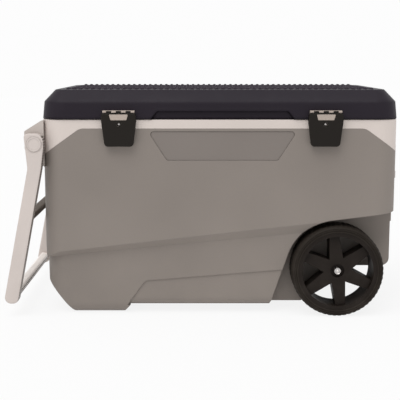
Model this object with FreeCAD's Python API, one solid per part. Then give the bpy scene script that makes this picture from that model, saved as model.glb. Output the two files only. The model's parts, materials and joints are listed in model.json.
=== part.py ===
"""A large wheeled cool box: insulated body, hinged lid, two latches, tow handle, lift handle and drain.

The model stands on z = 0. x runs from the tow handle to the wheels, and the latches face -y.
Sizes are millimetres. Pieces are drawn about the middle of the body, then moved together so that
the origin lies under the middle of the whole object.
"""

import FreeCAD
import Part
import math
import os

V = FreeCAD.Vector

# ---- body ----
body_half_length = 399.8
body_half_width = 219.0
upper_draft = 2.0
rim_height = 449.0
corner_radius = 50.0
shell_wall = 4.0
lower_end_step = 2.2
lower_side_step = 20.0
lower_flare = 11.0
lower_flare_start = 108.0
lower_flare_end = 250.0
lower_taper = 9.0
bottom_rounding = 20.0
foot_rounding = 28.0
feature_centre = 5.3

# ---- underside, seen from the side ----
belly_height = 19.0
foot_setback = 66.0
foot_inner_x = -221.0
foot_slope_run = 15.0
left_chamfer_height = 76.0
belly_end_gap = 73.7
wheel_end_height = 103.5
wheel_end_rise_run = 52.0
foot_corner = 8.0
belly_corner = 6.0
foot_slope_corner = 4.0
wheel_end_corner = 18.0

# ---- slanted ledge along the sides ----
ledge_slope_deg = 6.4
ledge_mid_height = 190.4
ledge_left_drop = 11.0
ledge_right_drop = 26.0

# ---- shallow recesses in the sides ----
panel_depth = 2.5
panel_left_x = -220.8
panel_corner_x = -170.5
panel_corner_height = 77.8
panel_slope_deg = 4.8
panel_corner_round = 16.0
panel_reach = 20.0
plate_depth = 2.2
plate_top_drop = 26.0
plate_height = 65.0
plate_top_half = 166.0
plate_bottom_half = 124.0
plate_round = 7.0
plate_sheet = 0.8
plate_sheet_gap = 0.3

# ---- white collar ----
collar_drop = 19.6
collar_flat_half = 317.8
collar_end_drop = 78.0
collar_blend = 26.0
flange_thickness = 3.0
rim_round = 1.2

# ---- tub ----
tub_end_wall = 32.8
tub_side_wall = 31.0
tub_wall = 3.0
tub_corner = 20.0
tub_draft = 4.0
tub_floor = 52.0
tub_step_height = 258.0
deep_end_step = 5.0
deep_right_x = 82.0
deep_side_step = 18.0
wheel_end_side_wall = 34.0
wheel_end_floor = 140.0
wheel_end_end_step = 6.0
tub_floor_round = 14.0

# ---- lid ----
lid_end_overhang = 0.1
lid_side_overhang = 3.0
lid_corner = 52.0
lid_gap = 1.5
lid_wall = 3.0
lid_side_rise = 39.0
lid_draft = 4.0
lid_crown_rise = 26.6
lid_bevel = 29.5
lid_edge_round = 4.0
grip_height = 3.0
grip_end_setback = 44.5
grip_side_setback = 38.0
recess_height = 17.5
recess_depth = 9.0
recess_round = 5.0
recess_over = 10.0
recess_half_top = 145.5
recess_half_bottom = 168.0
panel_gap = 3.0
lid_panel_wall = 3.0
panel_round = 3.0
plug_depth = 12.0
plug_clearance = 6.0
gasket_width = 8.0
gasket_setback = 14.0
gasket_clearance = 0.2

# ---- rear hinges ----
hinge_positions = (-250.0, 0.0, 250.0)
hinge_width = 64.0
hinge_knuckle_radius = 7.0
hinge_pin_radius = 3.0
hinge_leaf = 3.0
hinge_leaf_height = 36.0
hinge_leaf_corner = 5.0
hinge_web_height = 6.0
hinge_face_gap = 0.5
hinge_leaf_gap = 1.0
hinge_screw_drop = 3.0
knuckle_side_gap = 0.3
running_clearance = 0.1

# ---- latches ----
latch_middle = 4.2
latch_spacing = 228.5
latch_bar_width = 70.2
latch_axis_rise = 17.8
latch_bar_below_axis = 1.6
latch_bar_above_axis = 2.9
latch_axis_setout = 10.0
latch_front_setout = 14.5
latch_base_thickness = 3.5
latch_base_drop = 20.3
latch_base_round = 3.0
latch_bar_round = 1.0
latch_bar_setback = 1.8
latch_lever_gap = 3.2
latch_lever_length = 73.1
latch_lever_top_width = 74.5
latch_lever_wide = 77.4
latch_lever_wide_drop = 14.6
latch_lever_bottom_width = 62.5
latch_lever_wall = 3.2
latch_lever_side_gap = 0.6
latch_corner = 8.0
latch_side_round = 20.0
latch_top_round = 2.0
latch_edge_round = 1.6
latch_ear_offsets = (-21.5, 0.0, 21.5)
latch_ear_width = 11.0
latch_ear_radius = 1.6
latch_ear_gap = 0.3
latch_pin_radius = 0.8
base_screw_offset = 28.0
base_screw_margin = 0.8
window_top_drop = 1.6
window_lift = 2.1
window_round = 2.0
window_half_top = 21.5
window_half_bottom = 17.7
latch_inset_recess = 0.6
latch_inset_gap = 0.2
latch_inset_lip = 1.5
latch_inset_back = 1.2
latch_hole_drop = 9.4
latch_hole_radius = 5.0
keeper_half_width = 22.0
keeper_rise = 7.5
keeper_thickness = 4.0
keeper_corner = 3.0
keeper_ridge_rise = 6.0
keeper_screw_rise = 11.0
keeper_screw_head = 3.0
rib_thickness = 4.0
keeper_ridge = 5.5
catch_gap = 0.3

# ---- wheels and axle ----
wheel_radius = 105.0
wheel_width = 72.0
wheel_setback = 131.6
well_gap = 12.5
well_depth = 71.0
well_wheel_gap = 5.0
fender_lean_deg = 18.0
fender_slope_deg = 6.9
tread_shoulder = 5.0
rim_inner_radius = 80.5
rim_wall = 9.0
rim_setback = 1.5
spoke_count = 6
spoke_lean_deg = 6.0
spoke_rim_width = 21.5
spoke_hub_width = 31.0
spoke_depth = 42.0
spoke_face_recess = 12.0
hub_radius = 29.0
hub_bore_radius = 9.0
hub_recess_radius = 15.5
hub_recess_depth = 8.0
hub_back_radius = 17.0
axle_radius = 6.0
axle_seat_clearance = 0.1
cap_radius = 8.0
cap_dome = 4.0
axle_end_clearance = 0.3
axle_end_inset = 1.0
cap_edge = 0.5
spacer_radius = 14.0
clamp_offset = 112.0
clamp_length = 34.0
clamp_half_width = 16.0
clamp_thickness = 8.0
clamp_round = 4.0
clamp_screw_inset = 5.0

# ---- tow handle ----
tow_pivot_setout = 13.3
tow_pivot_drop = 53.7
tow_arm_inset = 14.0
tow_arm_thickness = 24.0
tow_head_radius = 21.0
tow_head_half = 23.0
tow_waist_drop = 55.0
tow_waist_setout = 16.0
tow_waist_width = 31.0
tow_end_setout = 75.0
tow_end_width = 32.5
tow_end_height = 48.0
tow_edge_round = 2.5
tow_head_corner = 8.0
tow_neck_drop = 10.0
tow_neck_round = 20.0
tow_waist_round_outer = 40.0
tow_waist_round_inner = 60.0
tow_bolt_radius = 6.0
tow_bolt_head_radius = 10.5
tow_bolt_head = 5.0
tow_bolt_depth = 34.0
tow_cap_radius = 16.4
tow_cap_dish_radius = 13.0
tow_cap_proud = 2.0
tow_cap_dish = 0.8
crossbar_height = 224.5
crossbar_width = 20.0
crossbar_thickness = 16.0
crossbar_round = 4.0
grip_bar_height = 49.5
grip_bar_inset = 18.1
grip_bar_width = 20.0
grip_bar_thickness = 20.0
grip_bar_round = 6.0
grip_groove_count = 2
grip_groove_width = 3.0
grip_groove_depth = 4.0
bracket_thickness = 43.0
bracket_side_gap = 0.4
bracket_low_round = 12.0
bracket_high_round = 4.0
bracket_top_drop = 3.0
bracket_front_rise = 27.0
bracket_setout = 25.0
bracket_front_drop = 16.0
bracket_wall_drop = 48.0

# ---- lift handle at the wheel end ----
lift_pivot_setout = 9.5
lift_pivot_drop = 67.0
lift_half_width = 100.0
lift_arm_width = 15.0
lift_arm_thickness = 13.0
lift_drop = 72.0
lift_grip_height = 24.0
lift_grip_thickness = 15.5
lift_grip_round = 3.0
lift_grip_bevel = 7.0
lift_side_gap = 0.3
lift_pin_radius = 4.0
lift_lug_width = 16.0
lift_lug_height = 30.0
lift_lug_wall = 4.0
lift_lug_foot = 2.0
lift_pin_clearance = 0.02

# ---- drain ----
drain_setback = 137.8
drain_height = 86.0
drain_tube_radius = 15.0
drain_bore_radius = 10.0
drain_flange_radius = 22.0
drain_flange = 4.0
drain_gasket_thickness = 1.5
drain_plug_cap_radius = 17.0
drain_plug_cap = 8.0
drain_plug_depth = 24.0
drain_nut_radius = 19.0
drain_nut_thickness = 6.0
drain_tube_end = 2.0
drain_cap_round = 2.0
drain_boss_margin = 2.0

# ---- screws ----
screw_radius = 2.2
screw_head_radius = 4.2
screw_head_height = 2.4
screw_length = 15.0
screw_hole_clearance = 0.05
wall_screw_length = 10.0
bracket_screw_rise = 16.0
bracket_screw_inset = 6.0
lug_screw_rise = 9.0

# ---- heights that follow the rim ----
lid_bottom = rim_height + lid_gap
lid_side_top = rim_height + lid_side_rise
lid_top = lid_side_top + lid_crown_rise
recess_top = lid_bottom + recess_height
collar_line = rim_height - collar_drop
collar_end_line = rim_height - collar_end_drop
plate_top = rim_height - plate_top_drop
plate_bottom = plate_top - plate_height
latch_axis_height = rim_height + latch_axis_rise
latch_bar_bottom = latch_axis_height - latch_bar_below_axis
latch_bar_top = latch_axis_height + latch_bar_above_axis
latch_base_bottom = latch_axis_height - latch_base_drop
latch_lever_top = latch_axis_height - latch_lever_gap
latch_lever_bottom = latch_lever_top - latch_lever_length
latch_lever_wide_height = latch_lever_top - latch_lever_wide_drop
window_top = latch_lever_top - window_top_drop
window_bottom = latch_base_bottom + window_lift
latch_hole_height = window_bottom - latch_hole_drop
keeper_bottom = latch_lever_bottom + keeper_rise
keeper_ridge_height = keeper_bottom + keeper_ridge_rise
keeper_screw_low = keeper_ridge_height + keeper_screw_rise
tow_pivot_height = rim_height - tow_pivot_drop
tow_waist_height = tow_pivot_height - tow_waist_drop
bracket_wall_top = rim_height - bracket_top_drop
bracket_front_top = tow_pivot_height + bracket_front_rise
bracket_front_bottom = tow_pivot_height - bracket_front_drop
bracket_wall_bottom = tow_pivot_height - bracket_wall_drop
lift_pivot_height = rim_height - lift_pivot_drop

# ---- places that follow the body's plan ----
lid_half_length = body_half_length + lid_end_overhang
lid_half_width = body_half_width + lid_side_overhang
grip_half_length = lid_half_length - grip_end_setback
grip_half_width = lid_half_width - grip_side_setback
lower_half_width = body_half_width - lower_side_step
tub_half_length = body_half_length - tub_end_wall
tub_half_width = body_half_width - tub_side_wall
deep_left_x = deep_end_step - tub_half_length
deep_half_width = tub_half_width - deep_side_step
foot_outer_x = foot_setback - body_half_length
wheel_x = body_half_length - wheel_setback
belly_end_x = wheel_x - belly_end_gap
well_half_width = body_half_width - well_depth
wheel_end_half_width = well_half_width - wheel_end_side_wall
wheel_end_right_x = tub_half_length - wheel_end_end_step
tow_pivot_x = -body_half_length - tow_pivot_setout
tow_arm_inner = body_half_width - tow_arm_inset
tow_waist_left = tow_pivot_x - tow_waist_setout
tow_end_left = tow_pivot_x - tow_end_setout
grip_bar_x = tow_end_left + grip_bar_inset
bracket_inner = tow_arm_inner - bracket_thickness
bracket_front_x = tow_pivot_x - bracket_setout
drain_x = drain_setback - body_half_length

# ---- reach of cutting shapes ----
far = 1000.0
margin = 30.0
overlap = 1.0


# ---- drawing helpers ----
def in_xz(y):
    return lambda a, b: V(a, y, b)


def in_yz(x):
    return lambda a, b: V(x, a, b)


def in_xy(z):
    return lambda a, b: V(a, b, z)


def rounded_wire(corners, place):
    """A closed wire through corners (a, b, radius), each one rounded by its radius."""
    count = len(corners)
    starts = []
    ends = []
    middles = []
    for i in range(count):
        a, b, radius = corners[i]
        here = V(a, b, 0)
        before = V(*corners[i - 1][:2], 0)
        after = V(*corners[(i + 1) % count][:2], 0)
        to_before = (before - here).normalize()
        to_after = (after - here).normalize()
        half = to_before.getAngle(to_after) / 2
        if radius <= 0:
            starts.append(here)
            ends.append(here)
            middles.append(None)
            continue
        reach = radius / math.tan(half)
        starts.append(here + to_before * reach)
        ends.append(here + to_after * reach)
        inward = (to_before + to_after).normalize()
        middles.append(here + inward * (radius / math.sin(half) - radius))
    edges = []
    for i in range(count):
        if middles[i] is not None:
            points = [place(p.x, p.y) for p in (starts[i], middles[i], ends[i])]
            edges.append(Part.Arc(*points).toShape())
        stop = starts[(i + 1) % count]
        if (ends[i] - stop).Length > 1e-6:
            edges.append(Part.makeLine(place(ends[i].x, ends[i].y), place(stop.x, stop.y)))
    return Part.Wire(edges)


def prism_y(corners, y0, y1):
    """An outline drawn in x and z, carried from y0 to y1."""
    return Part.Face(rounded_wire(corners, in_xz(y0))).extrude(V(0, y1 - y0, 0))


def prism_x(corners, x0, x1):
    """An outline drawn in y and z, carried from x0 to x1."""
    return Part.Face(rounded_wire(corners, in_yz(x0))).extrude(V(x1 - x0, 0, 0))


def prism_z(corners, z0, z1):
    """An outline drawn in x and y, carried from z0 to z1."""
    return Part.Face(rounded_wire(corners, in_xy(z0))).extrude(V(0, 0, z1 - z0))


def rectangle(x0, x1, y0, y1, radius=0.0):
    return [(x0, y0, radius), (x1, y0, radius), (x1, y1, radius), (x0, y1, radius)]


def section(x0, x1, half_width, radius, z):
    return rounded_wire(rectangle(x0, x1, -half_width, half_width, radius), in_xy(z))


def box(x0, x1, y0, y1, z0, z1):
    return Part.makeBox(x1 - x0, y1 - y0, z1 - z0, V(x0, y0, z0))


def rod_x(x0, x1, y, z, radius):
    return Part.makeCylinder(radius, x1 - x0, V(x0, y, z), V(1, 0, 0))


def rod_y(x, y0, y1, z, radius):
    return Part.makeCylinder(radius, y1 - y0, V(x, y0, z), V(0, 1, 0))


def join(shapes):
    whole = shapes[0]
    if len(shapes) > 1:
        whole = whole.fuse(shapes[1:])
    return whole.removeSplitter()


def mirror_y(shape):
    return shape.mirror(V(0, 0, 0), V(0, 1, 0))


def both_sides(shape):
    return Part.makeCompound([shape, mirror_y(shape)])


def round_edges(shape, radius, wanted):
    edges = [edge for edge in shape.Edges if wanted(edge)]
    return shape.makeFillet(radius, edges)


def flat_at(edge, z):
    """True if the whole edge lies at one height."""
    bounds = edge.BoundBox
    return abs(bounds.ZMin - z) < 0.01 and abs(bounds.ZMax - z) < 0.01


def along(edge, axis):
    """True for a straight edge that runs along x, y or z."""
    if not isinstance(edge.Curve, Part.Line):
        return False
    direction = edge.tangentAt(edge.FirstParameter)
    return abs(abs(getattr(direction, axis)) - 1) < 1e-6


def offset_corners(corners, distance):
    """The same outline with each straight side moved outward; the corners run clockwise in x and z."""
    count = len(corners)
    moved = []
    for i in range(count):
        here = V(*corners[i][:2], 0)
        into = (here - V(*corners[i - 1][:2], 0)).normalize()
        out = (V(*corners[(i + 1) % count][:2], 0) - here).normalize()
        normal_in = V(-into.y, into.x, 0)
        normal_out = V(-out.y, out.x, 0)
        bisector = normal_in + normal_out
        shift = bisector * (2 * distance / bisector.dot(bisector))
        turn = into.x * out.y - into.y * out.x
        radius = corners[i][2]
        if radius > 0:
            radius = max(radius - math.copysign(distance, turn), 0.5)
        moved.append((here.x + shift.x, here.y + shift.y, radius))
    return moved


# ---- body ----
def ledge_line(x):
    """Height of the upper, outer edge of the slanted ledge."""
    return ledge_mid_height + x * math.tan(math.radians(ledge_slope_deg))


def ledge_drop(x):
    share = (x + body_half_length) / (2 * body_half_length)
    return ledge_left_drop + share * (ledge_right_drop - ledge_left_drop)


def upper_half_width(z):
    return body_half_width - upper_draft * (rim_height - z) / rim_height


def lower_half_width_at(z):
    if z < lower_flare_start:
        return lower_half_width - lower_taper * (1 - z / lower_flare_start)
    share = (z - lower_flare_start) / (lower_flare_end - lower_flare_start)
    return lower_half_width + lower_flare * min(share, 1.0)


def upper_block(inset):
    """The wide upper walls, cut off below by the slanted ledge."""
    half = body_half_length - inset
    radius = corner_radius - inset
    low = left_chamfer_height
    block = Part.makeLoft(
        [
            section(-half, half, upper_half_width(low) - inset, radius, low),
            section(-half, half, body_half_width - inset, radius, rim_height),
        ],
        True,
        True,
    )
    reach = body_half_length + lower_end_step
    wires = []
    for x in (-reach, reach):
        high = ledge_line(x) + inset
        deep = high - ledge_drop(x)
        outer = upper_half_width(high) - inset
        inner = lower_half_width_at(deep) - inset - overlap
        rise = (high - deep) / (outer - inner)
        wide = outer + corner_radius
        top = high + rise * corner_radius
        corners = [(-inner, deep, 0), (inner, deep, 0), (wide, top, 0), (wide, far, 0)]
        corners += [(-wide, far, 0), (-wide, top, 0)]
        wires.append(rounded_wire(corners, in_yz(x)))
    above_ledge = Part.makeLoft(wires, True, True)
    left = -body_half_length + inset
    high = ledge_line(-body_half_length) + inset
    step = lower_end_step + overlap
    end_cut = [(left - overlap, 0, 0), (left + step, 0, 0), (left + step, high - ledge_left_drop, 0)]
    end_cut += [(left - overlap, high + ledge_left_drop / step, 0)]
    return block.common(above_ledge).cut(prism_y(end_cut, -far, far))


def lower_block(bottom, rounding, inset):
    """The narrower lower walls, flared towards the ledge, standing on one rounded floor."""
    left = -body_half_length + lower_end_step + inset
    right = -left
    radius = corner_radius - inset
    floor = bottom + inset
    heights = (floor, lower_flare_start, lower_flare_end)
    sections = [section(left, right, lower_half_width_at(z) - inset, radius, z) for z in heights]
    solid = Part.makeLoft(sections, True, True)
    return round_edges(solid, rounding - inset, lambda edge: flat_at(edge, floor))


def side_outline():
    """The body seen from the front, clockwise from the upper left."""
    left = -body_half_length + lower_end_step
    end = body_half_length
    rise_end = belly_end_x + wheel_end_rise_run
    over = wheel_end_height + wheel_end_corner + margin
    return [
        (-end - margin, rim_height + 2 * margin, 0),
        (end + margin, rim_height + 2 * margin, 0),
        (end + margin, over, 0),
        (end - lower_end_step, over, 0),
        (end - lower_end_step, wheel_end_height, wheel_end_corner),
        (rise_end, wheel_end_height, belly_corner),
        (belly_end_x, belly_height, belly_corner),
        (foot_inner_x + foot_slope_run, belly_height, foot_slope_corner),
        (foot_inner_x, 0, foot_corner),
        (foot_outer_x, 0, foot_corner),
        (left, left_chamfer_height, foot_corner),
        (left - margin, left_chamfer_height + 2 * margin, 0),
    ]


def well_outline():
    """The wheel well seen from the front: a leaning edge, an arc about the axle, a rising top edge."""
    lean = math.radians(fender_lean_deg)
    slope = math.radians(fender_slope_deg)
    radius = wheel_radius + well_gap
    left = V(-math.cos(lean), math.sin(lean), 0) * radius
    up = V(-math.sin(slope), math.cos(slope), 0) * radius
    side_way = V(math.sin(lean), math.cos(lean), 0)
    top_way = V(math.cos(slope), math.sin(slope), 0)
    centre = V(wheel_x, wheel_radius, 0)
    gap = up - left
    cross = side_way.x * top_way.y - side_way.y * top_way.x
    reach = (gap.x * top_way.y - gap.y * top_way.x) / cross
    corner = centre + left + side_way * reach
    low = centre + left - side_way * 2 * wheel_radius
    end_x = body_half_length + 2 * margin
    top_end = corner + top_way * ((end_x - corner.x) / top_way.x)
    return [
        (low.x, low.y, 0),
        (corner.x, corner.y, radius),
        (end_x, top_end.y, 0),
        (end_x, low.y, 0),
    ]


def wheel_wells(inset):
    outline = offset_corners(well_outline(), inset)
    return both_sides(prism_y(outline, -far, -well_half_width + inset))


def axle_channel(inset):
    half = axle_radius + axle_seat_clearance + inset
    slot = box(wheel_x - half, wheel_x + half, -far, far, 0, wheel_radius)
    return slot.fuse(rod_y(wheel_x, -far, far, wheel_radius, half))


def side_panel_outline():
    rise = math.tan(math.radians(panel_slope_deg))
    end_x = body_half_length
    end_height = panel_corner_height + (end_x - panel_corner_x) * rise
    return [
        (panel_left_x - panel_reach, -panel_reach, 0),
        (panel_corner_x, panel_corner_height, panel_corner_round),
        (end_x, end_height, 0),
        (end_x, -panel_reach, 0),
    ]


def lower_form(inset):
    """The foot and the belly, below the ledge."""
    split = foot_inner_x + foot_slope_run
    foot_end = box(-far, split - inset, -far, far, -far, far)
    foot = lower_block(0.0, foot_rounding, inset).common(foot_end)
    belly = lower_block(belly_height, bottom_rounding, inset)
    return foot.fuse(belly).removeSplitter()


def outer_form(inset):
    """The whole outside of the body, shrunk by inset on every face."""
    lower = lower_form(inset)
    if inset == 0:
        skin = prism_y(side_panel_outline(), -far, far).cut(lower_form(panel_depth))
        side = lower_half_width - bottom_rounding - panel_depth
        flank = box(-far, far, side, far, belly_height, far)
        lower = lower.cut(skin.common(both_sides(flank)))
    whole = lower.common(below(lower_flare_end - 2 * overlap)).fuse(upper_block(inset))
    whole = whole.common(prism_y(offset_corners(side_outline(), -inset), -far, far))
    whole = whole.cut(wheel_wells(inset))
    whole = whole.cut(axle_channel(inset))
    return whole.removeSplitter()


def plate_outline():
    middle = feature_centre
    return [
        (middle - plate_top_half, plate_top, plate_round),
        (middle + plate_top_half, plate_top, plate_round),
        (middle + plate_bottom_half, plate_bottom, plate_round),
        (middle - plate_bottom_half, plate_bottom, plate_round),
    ]


def plate_recess():
    """The trapezoid pocket in the middle of the front."""
    return prism_y(plate_outline(), -far, 0).cut(upper_block(plate_depth))


def front_plate():
    """The thin bare plate that lies on the pocket's floor."""
    sheet = prism_y(offset_corners(plate_outline(), -plate_sheet_gap), -far, 0)
    return sheet.common(upper_block(plate_depth - plate_sheet)).cut(upper_block(plate_depth))


def collar_region():
    end = body_half_length
    slope = (collar_line - collar_end_line) / (end - collar_flat_half)
    outside = end + margin
    drop = collar_end_line - margin * slope
    middle = feature_centre
    corners = [
        (middle - outside, far, 0),
        (middle + outside, far, 0),
        (middle + outside, drop, 0),
        (middle + collar_flat_half, collar_line, collar_blend),
        (middle - collar_flat_half, collar_line, collar_blend),
        (middle - outside, drop, 0),
    ]
    return prism_y(corners, -far, far)


def tub_form(grow):
    """The inside of the tub, grown by grow on every face but the top."""
    radius = tub_corner + grow
    half = tub_half_length + grow
    wide = tub_half_width + grow
    upper = Part.makeLoft(
        [
            section(-half + tub_draft, half - tub_draft, wide - tub_draft, radius, tub_step_height - grow),
            section(-half, half, wide, radius, rim_height),
        ],
        True,
        True,
    )
    top = tub_step_height + tub_draft
    parts = [upper]
    wells = (
        (deep_left_x, deep_right_x, deep_half_width, tub_floor),
        (deep_right_x - 2 * tub_corner, wheel_end_right_x, wheel_end_half_width, wheel_end_floor),
    )
    for left, right, width, floor in wells:
        plan = rectangle(left - grow, right + grow, -width - grow, width + grow, radius)
        well = prism_z(plan, floor - grow, top)
        parts.append(round_edges(well, tub_floor_round + grow, lambda edge: flat_at(edge, floor - grow)))
    return join(parts)


def below(z):
    return box(-far, far, -far, far, -far, z)


# ---- screws ----
def screw(seat, inward, length=screw_length, head_radius=screw_head_radius):
    """A pan head screw whose head sits on seat and whose shank runs inward."""
    shank = Part.makeCylinder(screw_radius, length, seat, inward)
    head = Part.makeCylinder(head_radius, screw_head_height, seat - inward * screw_head_height, inward)
    rim = [edge for edge in head.Edges if (edge.CenterOfMass - seat).dot(inward) < -screw_head_height / 2]
    rim = [edge for edge in rim if not isinstance(edge.Curve, Part.Line)]
    return head.makeFillet(screw_head_height / 2, rim).fuse(shank).removeSplitter()


def screw_hole(seat, inward):
    depth = screw_length + screw_hole_clearance
    return Part.makeCylinder(screw_radius + screw_hole_clearance, depth, seat, inward)


def screws(seats, inward):
    return [screw(seat, inward) for seat in seats]


def holes(seats, inward):
    return [screw_hole(seat, inward) for seat in seats]


def buried_hole(seat, inward):
    """The space of a short screw put in from inside the wall, head and shank."""
    gap = screw_hole_clearance
    back = seat - inward * (screw_head_height + gap)
    pocket = Part.makeCylinder(screw_head_radius + gap, screw_head_height + gap, back, inward)
    return pocket.fuse(Part.makeCylinder(screw_radius + gap, wall_screw_length + gap, seat, inward))


north = V(0, 1, 0)
south = V(0, -1, 0)
west = V(-1, 0, 0)
east = V(1, 0, 0)
up = V(0, 0, 1)


# ---- lid ----
def lid_recess(grow):
    """The finger recess along the lower front edge of the lid."""
    middle = feature_centre
    corners = [
        (middle - recess_half_bottom, lid_bottom - recess_over, 0),
        (middle - recess_half_top, recess_top, recess_round),
        (middle + recess_half_top, recess_top, recess_round),
        (middle + recess_half_bottom, lid_bottom - recess_over, 0),
    ]
    front = -lid_half_width
    return prism_y(offset_corners(corners, grow), front - margin, front + recess_depth + grow)


def lid_form(inset, floor):
    """The outside of the lid, shrunk by inset on its sides and top, standing on floor."""
    half = lid_half_length - inset
    wide = lid_half_width - inset
    radius = lid_corner - inset
    side_top = lid_side_top - inset * math.tan(math.radians(22.5))
    top = lid_top - inset
    slim = lid_draft
    lean = slim * (floor - lid_bottom) / (side_top - lid_bottom)
    run = lid_bevel
    sections = [
        section(-half + lean, half - lean, wide, radius, floor),
        section(-half + slim, half - slim, wide, radius, side_top),
        section(-half + run, half - run, wide - run, radius - run, top),
    ]
    return Part.makeLoft(sections, True, True)


def lid_shell():
    outer = lid_form(0, lid_bottom)
    levels = (lid_side_top, lid_top)
    outer = round_edges(outer, lid_edge_round, lambda edge: any(flat_at(edge, z) for z in levels))
    x, y = grip_half_length, grip_half_width
    field = prism_z(rectangle(-x, x, -y, y, lid_corner - lid_bevel), lid_top - 1, lid_top + grip_height)
    field = round_edges(field, grip_height / 2, lambda edge: flat_at(edge, lid_top + grip_height))
    outer = outer.fuse(field).cut(lid_recess(0))
    inner = lid_form(lid_wall, lid_bottom - overlap).cut(lid_recess(lid_wall))
    return outer.cut(inner).cut(join_compound(lid_holes)).removeSplitter()


def lid_grip_room():
    """The part of the lid's front taken by the grip strip round the finger recess."""
    half = recess_half_bottom + lid_wall
    back = -lid_half_width + recess_depth + lid_wall
    return box(feature_centre - half, feature_centre + half, -far, back, -far, lid_side_top - lid_edge_round)


def join_compound(shapes):
    return Part.makeCompound(shapes)


panel_bottom = rim_height + panel_gap
panel_top = panel_bottom + lid_panel_wall
plug_half_length = tub_half_length - plug_clearance
plug_half_width = tub_half_width - plug_clearance


def plug_block(inset, z1):
    x = plug_half_length - inset
    y = plug_half_width - inset
    corners = rectangle(-x, x, -y, y, tub_corner - plug_clearance - inset)
    return prism_z(corners, panel_bottom - plug_depth + inset, z1)


def lid_inner_panel():
    plate = lid_form(lid_wall, panel_bottom).common(below(panel_top)).cut(lid_recess(lid_wall))
    tray = plate.fuse(plug_block(0, panel_top)).removeSplitter()
    tray = round_edges(tray, panel_round, lambda edge: flat_at(edge, panel_bottom - plug_depth))
    return tray.cut(plug_block(lid_panel_wall, panel_top + 1)).cut(join_compound(lid_holes))


def lid_foam():
    core = lid_form(lid_wall, panel_top).cut(lid_recess(lid_wall))
    return core.fuse(plug_block(lid_panel_wall, panel_top)).removeSplitter().cut(join_compound(lid_holes))


def lid_gasket():
    x = lid_half_length - gasket_setback
    y = lid_half_width - gasket_setback
    z0 = rim_height + gasket_clearance
    radius = lid_corner - gasket_setback
    outer = prism_z(rectangle(-x, x, -y, y, radius), z0, panel_bottom)
    x -= gasket_width
    y -= gasket_width
    return outer.cut(prism_z(rectangle(-x, x, -y, y, radius - gasket_width), z0, panel_bottom))


# ---- rear hinges ----
hinge_y = lid_half_width + hinge_knuckle_radius + hinge_face_gap
hinge_z = rim_height + lid_gap / 2
knuckle_width = hinge_width / 5
hinge_clear = hinge_knuckle_radius + hinge_leaf_gap
hinge_screw_offset = hinge_width / 4
hinge_screw_rise = hinge_clear + hinge_leaf_height / 2 - hinge_screw_drop
body_hinge_face = body_half_width + hinge_leaf
lid_hinge_face = lid_half_width + hinge_leaf


def knuckles(x, owners):
    """The barrel pieces at x whose places along the hinge are in owners."""
    shapes = []
    for place in owners:
        x0 = x - hinge_width / 2 + place * knuckle_width + knuckle_side_gap / 2
        shapes.append((x0, x0 + knuckle_width - knuckle_side_gap))
    return shapes


def hinge_leaf_piece(x, owners, y0, y1, z_way):
    """One leaf with its knuckles; z_way is 1 above the pin and -1 below it."""
    z0 = hinge_z + z_way * hinge_clear
    z1 = hinge_z + z_way * (hinge_clear + hinge_leaf_height)
    half = hinge_width / 2
    low, high = min(z0, z1), max(z0, z1)
    leaf = prism_y(rectangle(x - half, x + half, low, high, hinge_leaf_corner), y0, y1)
    parts = [leaf]
    for start, stop in knuckles(x, owners):
        z_near = hinge_z + z_way * (hinge_clear + hinge_web_height)
        parts.append(box(start, stop, y1 - hinge_leaf, hinge_y, min(hinge_z, z_near), max(hinge_z, z_near)))
        parts.append(rod_x(start, stop, hinge_y, hinge_z, hinge_knuckle_radius))
    bore = rod_x(x - half - 1, x + half + 1, hinge_y, hinge_z, hinge_pin_radius + running_clearance)
    return join(parts).cut(bore)


def hinge_seats(face, z_way):
    z = hinge_z + z_way * hinge_screw_rise
    offsets = (-hinge_screw_offset, hinge_screw_offset)
    return [V(x + shift, face, z) for x in hinge_positions for shift in offsets]


def lid_hinge_leaves():
    leaves = [hinge_leaf_piece(x, (1, 3), lid_half_width, lid_hinge_face, 1) for x in hinge_positions]
    return [leaf.cut(join_compound(lid_holes)) for leaf in leaves]


def body_hinge_leaves():
    made = []
    for x in hinge_positions:
        leaf = hinge_leaf_piece(x, (0, 2, 4), body_half_width - 3, body_hinge_face, -1)
        made.append(leaf.cut(body_outside).cut(join_compound(root_holes)))
    return made


def hinge_pins():
    half = hinge_width / 2
    return [rod_x(x - half, x + half, hinge_y, hinge_z, hinge_pin_radius) for x in hinge_positions]


# ---- latches ----
latch_axis_y = -lid_half_width - latch_axis_setout
latch_front_y = -lid_half_width - latch_front_setout
latch_base_front = -lid_half_width - latch_base_thickness
latch_bar_front = latch_front_y + latch_bar_setback
latch_inner_y = latch_front_y + latch_lever_wall
keeper_front = -body_half_width - keeper_thickness
ear_notch = latch_ear_radius + latch_ear_gap
base_screw_height = latch_base_bottom + screw_head_radius + base_screw_margin


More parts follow.
